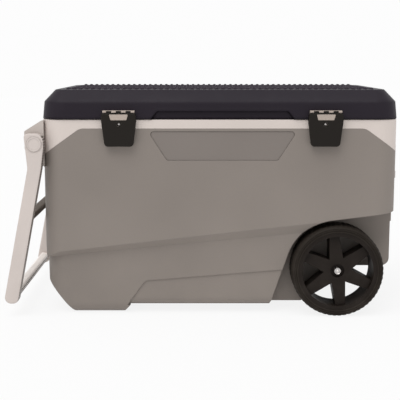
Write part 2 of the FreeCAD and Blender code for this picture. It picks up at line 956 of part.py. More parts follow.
def latch_base(x):
    half = latch_bar_width / 2
    corners = [
        (x - half, latch_base_bottom, latch_base_round),
        (x - half, latch_bar_top, latch_bar_round),
        (x + half, latch_bar_top, latch_bar_round),
        (x + half, latch_base_bottom, latch_base_round),
    ]
    plate = prism_y(corners, latch_base_front, -lid_half_width)
    bar = box(x - half, x + half, latch_bar_front, -lid_half_width, latch_bar_bottom, latch_bar_top)
    whole = join([plate, bar])
    ahead = latch_bar_front + 0.1
    whole = round_edges(whole, latch_bar_round, lambda e: along(e, "x") and e.CenterOfMass.y < ahead)
    for shift in latch_ear_offsets:
        side = latch_ear_width / 2 + latch_ear_gap
        x0, x1 = x + shift - side, x + shift + side
        notch = box(x0, x1, latch_front_y - 1, latch_base_front, latch_bar_bottom - 5, latch_axis_height)
        whole = whole.cut(notch.fuse(rod_x(x0, x1, latch_axis_y, latch_axis_height, ear_notch)))
        over = latch_axis_height + ear_notch + latch_ear_gap
        whole = whole.cut(box(x0, x1, latch_front_y - 1, latch_base_front, latch_axis_height, over))
    bore = latch_pin_radius + running_clearance
    whole = whole.cut(rod_x(x - half - 1, x + half + 1, latch_axis_y, latch_axis_height, bore))
    return whole.cut(join_compound(lid_holes))


def lever_outline(x):
    top = latch_lever_top_width / 2
    wide = latch_lever_wide / 2
    low = latch_lever_bottom_width / 2
    return [
        (x - low, latch_lever_bottom, latch_corner),
        (x - wide, latch_lever_wide_height, latch_side_round),
        (x - top, latch_lever_top, latch_top_round),
        (x + top, latch_lever_top, latch_top_round),
        (x + wide, latch_lever_wide_height, latch_side_round),
        (x + low, latch_lever_bottom, latch_corner),
    ]


def window_outline(x):
    return [
        (x - window_half_bottom, window_bottom, window_round),
        (x - window_half_top, window_top, window_round),
        (x + window_half_top, window_top, window_round),
        (x + window_half_bottom, window_bottom, window_round),
    ]


def latch_lever(x):
    outline = lever_outline(x)
    split = latch_base_bottom - 0.5
    shallow_back = latch_base_front - catch_gap
    deep_back = -body_half_width - latch_lever_side_gap
    full = prism_y(outline, latch_front_y, deep_back)
    behind = box(x - far, x + far, shallow_back, far, split, far)
    body = full.cut(behind)
    body = round_edges(body, latch_edge_round, lambda e: abs(e.BoundBox.YMax - latch_front_y) < 0.01)
    hollow = prism_y(offset_corners(outline, -latch_lever_wall), latch_inner_y, far)
    body = body.cut(hollow)
    body = body.cut(prism_y(window_outline(x), latch_front_y - overlap, latch_inner_y))
    body = body.cut(rod_y(x, latch_front_y - 1, latch_inner_y + 1, latch_hole_height, latch_hole_radius))
    rib_top = keeper_ridge_height - keeper_ridge / 2
    rib_tip = -body_half_width - keeper_ridge - catch_gap
    x0, x1 = x - keeper_half_width, x + keeper_half_width
    rib = box(x0, x1, latch_inner_y, rib_tip, rib_top - rib_thickness, rib_top)
    side = keeper_half_width + latch_lever_side_gap
    lip = latch_lever_bottom + latch_lever_wall
    body = body.cut(box(x - side, x + side, rib_tip, far, latch_lever_bottom - overlap, lip + overlap))
    parts = [body, rib]
    for shift in latch_ear_offsets:
        x0 = x + shift - latch_ear_width / 2
        x1 = x0 + latch_ear_width
        parts.append(rod_x(x0, x1, latch_axis_y, latch_axis_height, latch_ear_radius))
        neck = [
            (latch_axis_y - latch_ear_radius, latch_axis_height, 0),
            (latch_axis_y + latch_ear_radius, latch_axis_height, 0),
            (latch_inner_y + latch_lever_wall, latch_lever_top - latch_lever_wall, 0),
            (latch_inner_y, latch_lever_top - latch_lever_wall, 0),
            (latch_inner_y, window_top, 0),
        ]
        parts.append(prism_x(neck, x0, x1))
    bore = latch_pin_radius + running_clearance
    return join(parts).cut(rod_x(x - far, x + far, latch_axis_y, latch_axis_height, bore))


def latch_inset(x):
    """The pale insert glued into the lever's window from behind."""
    outline = window_outline(x)
    face_y = latch_front_y + latch_inset_recess
    back_y = latch_inner_y + latch_inset_back
    face = prism_y(offset_corners(outline, -latch_inset_gap), face_y, latch_inner_y)
    room = below(latch_lever_top - latch_lever_wall - latch_inset_gap)
    back = prism_y(offset_corners(outline, latch_inset_lip), latch_inner_y, back_y).common(room)
    return join([face, back])


def latch_pin(x):
    half = latch_bar_width / 2 - 1
    return rod_x(x - half, x + half, latch_axis_y, latch_axis_height, latch_pin_radius)


def latch_keeper(x):
    side = keeper_half_width
    top = latch_hole_height + latch_hole_radius + 1
    corners = rectangle(x - side, x + side, keeper_bottom, top, keeper_corner)
    plate = prism_y(corners, keeper_front, -body_half_width + hinge_leaf)
    tip = -body_half_width - keeper_ridge
    z = keeper_ridge_height
    half = keeper_ridge / 2
    ridge = [
        (keeper_front, z - half, 0),
        (tip, z - half / 2, 0.5),
        (tip, z + half / 2, 0.5),
        (keeper_front, z + half, 0),
    ]
    ridge_piece = prism_x(ridge, x - side + keeper_corner, x + side - keeper_corner)
    return join([plate, ridge_piece]).cut(body_outside).cut(join_compound(root_holes))


latch_places = (latch_middle - latch_spacing, latch_middle + latch_spacing)
keeper_seats = [V(x, keeper_front, z) for x in latch_places for z in (latch_hole_height, keeper_screw_low)]
base_seats = [
    V(x + shift, latch_base_front, base_screw_height)
    for x in latch_places
    for shift in (-base_screw_offset, base_screw_offset)
]


# ---- wheels and axle ----
wheel_outer = well_half_width + well_wheel_gap + wheel_width
wheel_inner = well_half_width + well_wheel_gap
spoke_face = wheel_outer - spoke_face_recess
hub_face = spoke_face - hub_recess_depth
rim_outer_radius = rim_inner_radius + rim_wall


def ring_y(inner, outer, y0, y1):
    """A ring about the axle line."""
    bore = rod_y(wheel_x, y0 - overlap, y1 + overlap, wheel_radius, inner)
    return rod_y(wheel_x, y0, y1, wheel_radius, outer).cut(bore)


def tyre():
    ring = ring_y(rim_outer_radius, wheel_radius, wheel_inner, wheel_outer)
    return round_edges(ring, tread_shoulder, lambda e: e.BoundBox.XLength > 2 * wheel_radius - 1)


def spoke(angle):
    """One spoke pointing up, then turned about the axle line."""
    inner = spoke_hub_width / 2
    outer = spoke_rim_width / 2
    reach = rim_inner_radius + rim_wall / 2
    corners = [
        (wheel_x - inner, wheel_radius, 0),
        (wheel_x - inner, wheel_radius + hub_radius, 0),
        (wheel_x - outer, wheel_radius + reach, 0),
        (wheel_x + outer, wheel_radius + reach, 0),
        (wheel_x + inner, wheel_radius + hub_radius, 0),
        (wheel_x + inner, wheel_radius, 0),
    ]
    blade = prism_y(corners, spoke_face - spoke_depth, spoke_face)
    blade.rotate(V(wheel_x, 0, wheel_radius), V(0, 1, 0), angle)
    return blade


def wheel_rim():
    """The barrel under the tyre."""
    return ring_y(rim_inner_radius, rim_outer_radius, wheel_inner, wheel_outer - rim_setback)


def wheel_centre():
    """The hub and its spokes, which fill the barrel up to its wall."""
    parts = [rod_y(wheel_x, wheel_inner, spoke_face, wheel_radius, hub_back_radius)]
    for step in range(spoke_count):
        parts.append(spoke(-spoke_lean_deg + step * 360.0 / spoke_count))
    whole = join(parts).cut(ring_y(rim_inner_radius, wheel_radius, 0, wheel_outer))
    whole = whole.cut(rod_y(wheel_x, hub_face, wheel_outer, wheel_radius, hub_recess_radius))
    return whole.cut(rod_y(wheel_x, 0, wheel_outer, wheel_radius, hub_bore_radius))


def wheel_bush():
    return ring_y(axle_radius + running_clearance, hub_bore_radius, wheel_inner, hub_face)


def axle_spacer():
    inner = axle_radius + running_clearance
    return ring_y(inner, spacer_radius, well_half_width, wheel_inner - axle_end_clearance)


axle_end = spoke_face - axle_end_inset


def axle():
    return rod_y(wheel_x, -axle_end, axle_end, wheel_radius, axle_radius)


def axle_cap():
    start = hub_face + axle_end_clearance
    body = rod_y(wheel_x, start, axle_end + cap_dome, wheel_radius, cap_radius)
    body = round_edges(body, cap_dome - cap_edge, lambda e: flat_in_y(e, axle_end + cap_dome))
    return body.cut(rod_y(wheel_x, start - 1, axle_end, wheel_radius, axle_radius))


def flat_in_y(edge, y):
    bounds = edge.BoundBox
    return abs(bounds.YMin - y) < 0.01 and abs(bounds.YMax - y) < 0.01


clamp_screw_offset = clamp_half_width - clamp_screw_inset
clamp_seats = [
    V(wheel_x + dx, y, wheel_end_height - clamp_thickness)
    for y in (-clamp_offset, clamp_offset)
    for dx in (-clamp_screw_offset, clamp_screw_offset)
]


def axle_clamp(y):
    y0, y1 = y - clamp_length / 2, y + clamp_length / 2
    half = axle_radius - axle_seat_clearance
    side = clamp_half_width
    x0, x1 = wheel_x - side, wheel_x + side
    plan = rectangle(x0, x1, y0, y1, clamp_round)
    plate = prism_z(plan, wheel_end_height - clamp_thickness, wheel_end_height)
    saddle = box(wheel_x - half, wheel_x + half, y0, y1, wheel_end_height - 1, wheel_radius)
    whole = join([plate, saddle])
    whole = whole.cut(rod_y(wheel_x, y0 - 1, y1 + 1, wheel_radius, axle_radius))
    return whole.cut(join_compound(root_holes))


# ---- tow handle ----
tow_outer = tow_arm_inner + tow_arm_thickness
bracket_outer = tow_arm_inner - bracket_side_gap


def arm_left_at(z):
    """The outer edge of the tow arm at a height below its waist."""
    share = (tow_waist_height - z) / (tow_waist_height - tow_end_height)
    return tow_waist_left + share * (tow_end_left - tow_waist_left)


def arm_width_at(z):
    share = (tow_waist_height - z) / (tow_waist_height - tow_end_height)
    return tow_waist_width + share * (tow_end_width - tow_waist_width)


arm_lean = math.atan2(tow_waist_left - tow_end_left, tow_waist_height - tow_end_height)


def tow_arm():
    head_left = tow_pivot_x - tow_head_half
    head_right = tow_pivot_x + tow_head_radius
    head_top = tow_pivot_height + tow_head_half
    end_low = tow_end_height - tow_end_width / 2
    low_left = tow_end_left - (tow_end_height - end_low) * math.tan(arm_lean)
    low_right = low_left + tow_end_width
    end_round = tow_end_width / 2 - tow_edge_round
    corners = [
        (low_left, end_low, end_round),
        (tow_waist_left, tow_waist_height, tow_waist_round_outer),
        (head_left, head_top, tow_head_corner),
        (head_right, head_top, tow_head_radius - tow_edge_round),
        (head_right, tow_pivot_height - tow_neck_drop, tow_neck_round),
        (tow_waist_left + tow_waist_width, tow_waist_height, tow_waist_round_inner),
        (low_right, end_low, end_round),
    ]
    arm = prism_y(corners, tow_arm_inner, tow_outer)
    arm = round_edges(arm, tow_edge_round, lambda e: flat_in_y(e, tow_outer) or flat_in_y(e, tow_arm_inner))
    bore = tow_bolt_radius + running_clearance
    arm = arm.cut(rod_y(tow_pivot_x, 0, far, tow_pivot_height, bore))
    sink = tow_outer - tow_bolt_head - catch_gap
    return arm.cut(rod_y(tow_pivot_x, sink, far, tow_pivot_height, tow_bolt_head_radius + catch_gap))


def tow_pivot_bolt():
    start = tow_arm_inner - tow_bolt_depth
    stop = tow_outer - tow_bolt_head
    shank = rod_y(tow_pivot_x, start, stop, tow_pivot_height, tow_bolt_radius)
    head = rod_y(tow_pivot_x, stop, tow_outer - catch_gap, tow_pivot_height, tow_bolt_head_radius)
    return join([shank, head])


def tow_pivot_cap():
    disc = rod_y(tow_pivot_x, tow_outer, tow_outer + tow_cap_proud, tow_pivot_height, tow_cap_radius)
    face = tow_outer + tow_cap_proud
    disc = round_edges(disc, tow_cap_dish, lambda e: flat_in_y(e, face))
    dish = rod_y(tow_pivot_x, face - tow_cap_dish, face + overlap, tow_pivot_height, tow_cap_dish_radius)
    return disc.cut(dish)


def leaning_bar(x, z, width, thickness, radius):
    """A bar between the tow arms, turned to the lean of the arms."""
    corners = rectangle(x - width / 2, x + width / 2, z - thickness / 2, z + thickness / 2, radius)
    bar = prism_y(corners, -tow_arm_inner, tow_arm_inner)
    bar.rotate(V(x, 0, z), V(0, 1, 0), math.degrees(arm_lean))
    return bar


def tow_crossbar():
    x = arm_left_at(crossbar_height) + arm_width_at(crossbar_height) / 2
    return leaning_bar(x, crossbar_height, crossbar_width, crossbar_thickness, crossbar_round)


def tow_grip():
    bar = leaning_bar(grip_bar_x, grip_bar_height, grip_bar_width, grip_bar_thickness, grip_bar_round)
    cuts = []
    pitch = grip_bar_thickness / (grip_groove_count + 1)
    for step in range(grip_groove_count):
        z = grip_bar_height - grip_bar_thickness / 2 + (step + 1) * pitch
        face = grip_bar_x + grip_bar_width / 2
        half = grip_groove_width / 2
        floor = face - grip_groove_depth
        cuts.append(box(floor, face + margin, -tow_arm_inner, tow_arm_inner, z - half, z + half))
    grooves = Part.makeCompound(cuts)
    grooves.rotate(V(grip_bar_x, 0, grip_bar_height), V(0, 1, 0), math.degrees(arm_lean))
    return bar.cut(grooves)


def tow_bracket():
    """The wedge on the end wall that carries the tow handle's bolt, for the +y side."""
    wall = -body_half_length + shell_wall + overlap
    corners = [
        (wall, bracket_wall_bottom - shell_wall - overlap, 0),
        (bracket_front_x, bracket_front_bottom, bracket_low_round),
        (bracket_front_x, bracket_front_top, bracket_high_round),
        (-body_half_length, bracket_wall_top, 0),
        (wall, bracket_wall_top, 0),
    ]
    block = prism_y(corners, bracket_inner, bracket_outer)
    block = block.cut(body_outside).cut(join_compound(buried_holes))
    return block.cut(rod_y(tow_pivot_x, 0, far, tow_pivot_height, tow_bolt_radius))


# ---- lift handle ----
lift_pivot_x = body_half_length + lift_pivot_setout
lift_lug_outer = lift_half_width - lift_arm_width - lift_side_gap
lift_lug_inner = lift_lug_outer - lift_lug_width


def lift_handle():
    """A bail of two arms and a thicker grip, hanging from its pins."""
    top = lift_pivot_height + lift_arm_thickness / 2
    low = lift_pivot_height - lift_drop
    x0 = lift_pivot_x - lift_arm_thickness / 2
    x1 = lift_pivot_x + lift_arm_thickness / 2
    arm_outline = [
        (x0, low, 0),
        (x0, top, lift_arm_thickness / 2 - lift_side_gap),
        (x1, top, lift_arm_thickness / 2 - lift_side_gap),
        (x1, low, 0),
    ]
    grip_x0 = lift_pivot_x - lift_grip_thickness / 2
    grip_x1 = lift_pivot_x + lift_grip_thickness / 2
    grip_outline = [
        (grip_x0, low - lift_grip_height / 2, lift_grip_round),
        (grip_x0, low + lift_grip_height / 2, lift_grip_round),
        (grip_x1, low + lift_grip_height / 2, lift_grip_round),
        (grip_x1, low - lift_grip_height / 2 + lift_grip_bevel, lift_grip_round),
        (grip_x1 - lift_grip_bevel, low - lift_grip_height / 2, lift_grip_round),
    ]
    inner = lift_half_width - lift_arm_width
    parts = [prism_y(grip_outline, -lift_half_width, lift_half_width)]
    parts.append(prism_y(arm_outline, inner, lift_half_width))
    parts.append(prism_y(arm_outline, -lift_half_width, -inner))
    whole = join(parts)
    bore = lift_pin_radius + running_clearance
    return whole.cut(rod_y(lift_pivot_x, -far, far, lift_pivot_height, bore))



def lift_lug():
    """A lug on the end wall for one lift handle pin, for the +y side."""
    wall = body_half_length - shell_wall
    reach = lift_pivot_x + lift_pin_radius + lift_lug_wall
    half = lift_lug_height / 2
    nose_half = lift_arm_thickness / 2
    z = lift_pivot_height
    nose = [
        (wall, z - half, 0),
        (wall, z + half, 0),
        (body_half_length + lift_lug_foot, z + half, lift_lug_wall),
        (reach, z + nose_half, lift_lug_wall),
        (reach, z - nose_half, lift_lug_wall),
        (body_half_length + lift_lug_foot, z - half, lift_lug_wall),
    ]
    block = prism_y(nose, lift_lug_inner, lift_lug_outer).cut(body_outside)
    block = block.cut(join_compound(buried_holes))
    return block.cut(rod_y(lift_pivot_x, 0, far, z, lift_pin_radius + lift_pin_clearance))


def lift_pin():
    start = lift_lug_inner + overlap
    return rod_y(lift_pivot_x, start, lift_half_width, lift_pivot_height, lift_pin_radius)


# ---- drain ----
drain_wall = lower_half_width
drain_seat = drain_wall + drain_gasket_thickness
drain_face = drain_seat + drain_flange
liner_inside = deep_half_width


def drain_hole():
    return rod_y(drain_x, 0, far, drain_height, drain_tube_radius + running_clearance)


def drain_boss():
    """A flat round pad on the rear wall for the drain's gasket."""
    pad = rod_y(drain_x, 0, drain_wall, drain_height, drain_flange_radius + drain_boss_margin)
    return pad.cut(body_inside)


def tube_y(y0, y1, inner, outer):
    tube = rod_y(drain_x, y0, y1, drain_height, outer)
    return tube.cut(rod_y(drain_x, y0 - 1, y1 + 1, drain_height, inner))


def drain_housing():
    end = liner_inside - drain_nut_thickness - drain_tube_end
    tube = tube_y(end, drain_face, drain_bore_radius, drain_tube_radius)
    return join([tube, tube_y(drain_seat, drain_face, drain_bore_radius, drain_flange_radius)])


def drain_gasket():
    inner = drain_tube_radius + running_clearance
    return tube_y(drain_wall, drain_seat, inner, drain_flange_radius - drain_boss_margin)


def drain_nut():
    back = liner_inside - drain_nut_thickness
    return tube_y(back, liner_inside, drain_tube_radius + screw_hole_clearance, drain_nut_radius)


def drain_plug():
    cap = rod_y(drain_x, drain_face, drain_face + drain_plug_cap, drain_height, drain_plug_cap_radius)
    face = drain_face + drain_plug_cap
    cap = round_edges(cap, drain_cap_round, lambda e: flat_in_y(e, face))
    shank_radius = drain_bore_radius - running_clearance
    shank = rod_y(drain_x, drain_face - drain_plug_depth, drain_face, drain_height, shank_radius)
    return join([cap, shank])


# ---- fastener seats and their holes ----
def wall_seats(x, y, heights):
    return [V(x, side * y, z) for side in (-1, 1) for z in heights]


body_hinge_seats = hinge_seats(body_hinge_face, -1)
lid_hinge_seats = hinge_seats(lid_hinge_face, 1)
root_holes = holes(body_hinge_seats, south) + holes(keeper_seats, north) + holes(clamp_seats, up)
lid_holes = holes(lid_hinge_seats, south) + holes(base_seats, north)

bracket_screw_seats = wall_seats(
    -body_half_length + shell_wall,
    bracket_inner + bracket_screw_inset,
    (bracket_wall_bottom + bracket_screw_rise, bracket_front_top),
)
lug_screw_seats = wall_seats(
    body_half_length - shell_wall,
    (lift_lug_inner + lift_lug_outer) / 2,
    (lift_pivot_height - lug_screw_rise, lift_pivot_height + lug_screw_rise),
)
buried_holes = [buried_hole(seat, west) for seat in bracket_screw_seats]
buried_holes += [buried_hole(seat, east) for seat in lug_screw_seats]

body_outside = outer_form(0)
body_inside = outer_form(shell_wall)
collar_space = collar_region()
drilled = join_compound(root_holes + buried_holes + [drain_hole()])


def outer_shell():
    walls = body_outside.cut(body_inside).cut(collar_space).cut(plate_recess())
    return walls.fuse(drain_boss()).cut(drilled).removeSplitter()


def collar():
    hollow = body_inside.common(below(rim_height - flange_thickness))
    whole = body_outside.cut(hollow).common(collar_space).cut(tub_form(0))
    beyond = tub_half_length + flange_thickness
    whole = round_edges(whole, rim_round, lambda e: flat_at(e, rim_height) and e.BoundBox.XMax > beyond)
    return whole.cut(drilled)


def liner_mouldings():
    """The tub's lining: a band above the step, a step plate, the deep well and the wheel-end shelf."""
    shell = tub_form(tub_wall).cut(tub_form(0)).common(below(rim_height - flange_thickness))
    shell = shell.cut(drain_hole())
    step_under = tub_step_height - tub_wall
    shelf_x = deep_right_x + tub_wall
    spans = {
        "liner_band": ((-far, far), (tub_step_height, far)),
        "liner_step": ((-far, far), (step_under, tub_step_height)),
        "liner_well": ((-far, shelf_x), (-far, step_under)),
        "liner_shelf": ((shelf_x, far), (-far, step_under)),
    }
    return {name: shell.common(box(*xs, -far, far, *zs)) for name, (xs, zs) in spans.items()}


def foam_core():
    foam = body_inside.common(below(rim_height - flange_thickness))
    return foam.cut(tub_form(tub_wall)).cut(drilled)


# ---- all pieces ----
pieces = {}


def keep(name, shapes):
    if isinstance(shapes, (list, tuple)):
        shapes = Part.makeCompound(list(shapes))
    pieces[name] = shapes


def build():
    keep("outer_shell", outer_shell())
    keep("front_plate", front_plate())
    keep("collar", collar())
    for name, shape in liner_mouldings().items():
        keep(name, shape)
    keep("foam_core", foam_core())
    cover = lid_shell()
    keep("lid_shell", cover.cut(lid_grip_room()))
    keep("lid_grip", cover.common(lid_grip_room()))
    keep("lid_inner_panel", lid_inner_panel())
    keep("lid_foam", lid_foam())
    keep("lid_gasket", lid_gasket())
    keep("lid_hinge_leaves", lid_hinge_leaves())
    keep("body_hinge_leaves", body_hinge_leaves())
    keep("hinge_pins", hinge_pins())
    keep("lid_hinge_screws", screws(lid_hinge_seats, south))
    keep("body_hinge_screws", screws(body_hinge_seats, south))
    for side, x in zip(("left", "right"), latch_places):
        keep("latch_base_" + side, latch_base(x))
        keep("latch_lever_" + side, latch_lever(x))
        keep("latch_inset_" + side, latch_inset(x))
        keep("latch_pin_" + side, latch_pin(x))
        keep("latch_keeper_" + side, latch_keeper(x))
    keep("latch_base_screws", screws(base_seats, north))
    keep("keeper_screws", [screw(seat, north, head_radius=keeper_screw_head) for seat in keeper_seats])
    rim, centre, tread, bush = wheel_rim(), wheel_centre(), tyre(), wheel_bush()
    for side, turn in (("front", mirror_y), ("rear", lambda shape: shape)):
        keep("wheel_rim_" + side, turn(rim))
        keep("wheel_centre_" + side, turn(centre))
        keep("wheel_tyre_" + side, turn(tread))
        keep("wheel_bush_" + side, turn(bush))
    keep("axle", axle())
    keep("axle_spacers", both_sides(axle_spacer()))
    keep("axle_caps", both_sides(axle_cap()))
    keep("axle_clamps", [axle_clamp(-clamp_offset), axle_clamp(clamp_offset)])
    keep("axle_clamp_screws", screws(clamp_seats, up))
    arm, cap = tow_arm(), tow_pivot_cap()
    for side, turn in (("front", mirror_y), ("rear", lambda shape: shape)):
        keep("tow_arm_" + side, turn(arm))
        keep("tow_pivot_cap_" + side, turn(cap))
    keep("tow_crossbar", tow_crossbar())
    keep("tow_grip", tow_grip())
    keep("tow_brackets", both_sides(tow_bracket()))
    keep("tow_bracket_screws", [screw(seat, west, wall_screw_length) for seat in bracket_screw_seats])
    keep("tow_pivot_bolts", both_sides(tow_pivot_bolt()))
    keep("lift_handle", lift_handle())
    keep("lift_lugs", both_sides(lift_lug()))
    keep("lift_lug_screws", [screw(seat, east, wall_screw_length) for seat in lug_screw_seats])
    keep("lift_pins", both_sides(lift_pin()))
    keep("drain_housing", drain_housing())
    keep("drain_gasket", drain_gasket())
    keep("drain_nut", drain_nut())
    keep("drain_plug", drain_plug())


def middle_of(shapes):
    """The point under the middle of all the pieces together."""
    whole = FreeCAD.BoundBox()
    for shape in shapes:
        whole.add(shape.optimalBoundingBox())
    return V((whole.XMin + whole.XMax) / 2, (whole.YMin + whole.YMax) / 2, whole.ZMin)


build()
origin = middle_of(pieces.values())
os.makedirs("parts", exist_ok=True)
for name, shape in pieces.items():
    shape.translate(V(0, 0, 0) - origin)
    shape.exportStep("parts/" + name + ".step")
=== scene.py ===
"""Finishes, detail pieces and a stage for a large wheeled cooler, laid out as a Blender add-on.

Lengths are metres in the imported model's own frame: +X runs towards the wheels, -Y towards the latches
and +Z up. Places and sizes come from the model's nodes; what a user would change is a property.
"""

import json
import math

import bmesh
import bpy
from bpy.props import FloatProperty, FloatVectorProperty, IntProperty, PointerProperty
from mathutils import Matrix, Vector


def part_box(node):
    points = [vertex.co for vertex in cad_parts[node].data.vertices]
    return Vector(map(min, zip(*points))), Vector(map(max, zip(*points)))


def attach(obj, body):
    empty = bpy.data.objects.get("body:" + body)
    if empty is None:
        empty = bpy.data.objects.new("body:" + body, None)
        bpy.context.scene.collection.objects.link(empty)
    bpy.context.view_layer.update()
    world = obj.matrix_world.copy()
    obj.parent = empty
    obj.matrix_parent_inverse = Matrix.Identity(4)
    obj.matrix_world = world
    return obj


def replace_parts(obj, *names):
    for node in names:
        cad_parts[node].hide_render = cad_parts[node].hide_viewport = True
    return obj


bl_info = {
    "name": "Wheeled Cooler",
    "version": (1, 0, 0),
    "blender": (4, 5, 0),
    "location": "View3D > Sidebar > Cooler",
    "description": "Finishes, detail pieces and a stage for a large wheeled cooler",
    "category": "Add Mesh",
}

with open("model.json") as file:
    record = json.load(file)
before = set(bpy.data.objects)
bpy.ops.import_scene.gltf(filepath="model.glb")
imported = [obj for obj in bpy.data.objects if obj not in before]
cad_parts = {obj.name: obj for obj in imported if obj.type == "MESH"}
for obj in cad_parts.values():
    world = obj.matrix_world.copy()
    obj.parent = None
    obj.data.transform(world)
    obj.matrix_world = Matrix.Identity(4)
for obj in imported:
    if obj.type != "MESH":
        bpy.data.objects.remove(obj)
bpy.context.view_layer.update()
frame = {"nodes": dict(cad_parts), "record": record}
MM = 0.001
SIDES = ("front", "rear")


# ---- properties ----
def tint(name, description, value):
    return FloatVectorProperty(
        name=name, description=description, subtype="COLOR", size=3, min=0.0, max=1.0, default=value
    )


def length(name, description, millimetres):
    return FloatProperty(
        name=name, description=description, unit="LENGTH", subtype="DISTANCE", min=0.0, default=millimetres * MM
    )


def share(name, description, value):
    return FloatProperty(name=name, description=description, subtype="FACTOR", min=0.0, max=1.0, default=value)


def count(name, description, value):
    return IntProperty(name=name, description=description, min=1, default=value)


class CoolerColours(bpy.types.PropertyGroup):
    """Base colours of the cooler's materials, as linear values."""

    body: tint("Body", "Moulded body walls", (0.228, 0.198, 0.176))
    plate: tint("Front plate", "Bare plate in the front recess", (0.2, 0.174, 0.157))
    collar: tint("Collar", "Pale collar and inner handle parts", (0.62, 0.55, 0.51))
    handle: tint("Handle", "Tow handle and lift handle", (0.58, 0.517, 0.483))
    # Painted shade: darker than the handle's plastic, standing in for the shade the arms and the wall cast on
    # the brackets.
    bracket: tint("Brackets", "Brackets of the tow handle", (0.5, 0.445, 0.41))
    # Painted highlight: much lighter than the handle's plastic, standing in for the bright top light on the
    # pull bar.
    grip: tint("Pull bar", "Pull bar of the tow handle", (0.86, 0.8, 0.76))
    lid: tint("Lid", "Dark lid cover", (0.0172, 0.0132, 0.019))
    # Painted sheen: about twice the lid's colour, standing in for the grazing reflection on the lid's top.
    stud: tint("Grip studs", "Studs on top of the lid", (0.034, 0.027, 0.037))
    liner: tint("Liner", "Tub and lid lining", (0.7, 0.7, 0.67))
    foam: tint("Foam", "Poured insulation", (0.66, 0.55, 0.3))
    latch_bar: tint("Latch bar", "Tan latch base and keeper", (0.4, 0.335, 0.29))
    latch: tint("Latch", "Black latch lever and hinge leaves", (0.0135, 0.011, 0.009))
    wheel: tint("Wheel", "Wheel, bushes and drain", (0.0138, 0.0102, 0.0082))
    tyre: tint("Tyre", "Tyre rubber", (0.0195, 0.0152, 0.012))
    # Painted shade: the colour that rib pockets and creases are darkened towards.
    painted_shade: tint("Rib pockets", "Shaded pockets on the inner side of the tow handle", (0.075, 0.058, 0.046))
    crossbar: tint("Crossbar", "Ribbed crossbar of the tow handle", (0.12, 0.098, 0.082))
    dust: tint("Dust", "Fine dust that settles low down", (0.3, 0.26, 0.22))


class CoolerSurface(bpy.types.PropertyGroup):
    """Scale and strength of the surface detail."""

    grain_size: length("Grain size", "Width of the moulded texture's grains", 1.1)
    grain_depth: length("Grain depth", "Height of the moulded texture", 0.05)
    wear_width: length("Wear width", "How far rubbing reaches from an edge", 1.6)
    wear: share("Wear", "Strength of the rubbed edges", 0.35)
    drift: share("Tone drift", "Slow change of tone across a panel", 0.06)
    dust: share("Dust", "Dust on the lowest parts", 0.12)
    rib_pitch: length("Rib pitch", "Distance between ribs inside the tow handle's arms", 6)


class CoolerDetail(bpy.types.PropertyGroup):
    """Counts and sizes of the modelled detail."""

    stud_pitch: length("Stud pitch", "Distance between grip studs in one row", 14)
    stud_row: length("Stud row", "Distance between rows of grip studs", 9)
    stud_length: length("Stud length", "Length of one grip stud", 8)
    stud_width: length("Stud width", "Width of one grip stud", 6)
    stud_height: length("Stud height", "Height of the tall studs over the lid's field", 2.8)
    low_stud: share("Low studs", "Height of the field's inner studs beside the tall ones", 0.6)
    tall_rows: count("Tall rows", "Rows of tall studs along the front and the rear edge", 2)
    lug_count: count("Tread lugs", "Blocks round each tyre", 56)
    lug_depth: length("Lug depth", "Depth of the grooves between the tread blocks", 0.7)
    rib_count: count("Crossbar ribs", "Ribs along the tow handle's crossbar", 58)


class CoolerStage(bpy.types.PropertyGroup):
    """Camera, lamps and floor."""

    camera_side: length("Camera side", "Camera's distance left of the object's middle", 9.35)
    camera_back: length("Camera distance", "Camera's distance in front of the middle", 2270)
    camera_height: length("Camera height", "Camera's height over the floor", 580)
    camera_tilt: FloatProperty(
        name="Camera tilt", description="Downward tilt", subtype="ANGLE", default=math.radians(8.62)
    )
    camera_lens: FloatProperty(name="Lens", description="Focal length in millimetres", default=83.16, min=1.0)
    sky: FloatProperty(name="Sky", description="Strength of the even light all round", default=0.61, min=0.0)
    key: FloatProperty(name="Key light", description="Strength of the soft light", default=1.83, min=0.0)
    key_way: FloatVectorProperty(
        name="Key direction",
        description="Way the soft light shines",
        subtype="DIRECTION",
        default=(0.4, 0.785, -1.6),
    )
    key_spread: FloatProperty(
        name="Key spread",
        description="Apparent width of the soft light",
        subtype="ANGLE",
        default=math.radians(50),
    )
    backdrop: share("Backdrop", "How bright the backdrop looks", 0.98)
    floor: share("Floor tone", "How bright the lit floor looks", 0.97)
    floor_shade: share("Floor shade", "How much of the floor's brightness a shadow can take", 0.12)
    floor_bounce: share("Floor bounce", "How much light the floor throws back", 0.9)
    floor_glow: share("Floor glow", "Light the floor adds of its own", 0.12)


# ---- node trees ----
class Nodes:
    """Adds nodes to one tree. A value that is a socket is joined, and any other value is set."""

    def __init__(self, tree):
        self.tree = tree

    def add(self, kind, inputs=None, **settings):
        node = self.tree.nodes.new(kind)
        for key, value in settings.items():
            setattr(node, key, value)
        for key, value in (inputs or {}).items():
            if isinstance(value, bpy.types.NodeSocket):
                self.tree.links.new(value, node.inputs[key])
            else:
                node.inputs[key].default_value = value
        return node

    def math(self, operation, first, second=0.0):
        return self.add("ShaderNodeMath", {0: first, 1: second}, operation=operation).outputs[0]

    def spread(self, value, low, high, to_low=0.0, to_high=1.0):
        """The value moved from low..high to to_low..to_high, clamped."""
        inputs = {"Value": value, "From Min": low, "From Max": high, "To Min": to_low, "To Max": to_high}
        return self.add("ShaderNodeMapRange", inputs).outputs["Result"]

    def mix(self, factor, first, second):
        inputs = {0: factor, 6: first, 7: second}
        return self.add("ShaderNodeMix", inputs, data_type="RGBA").outputs[2]

    def group(self, tree, **inputs):
        node = self.add("ShaderNodeGroup", node_tree=tree)
        for key, value in inputs.items():
            node.inputs[key].default_value = value
        return node.outputs


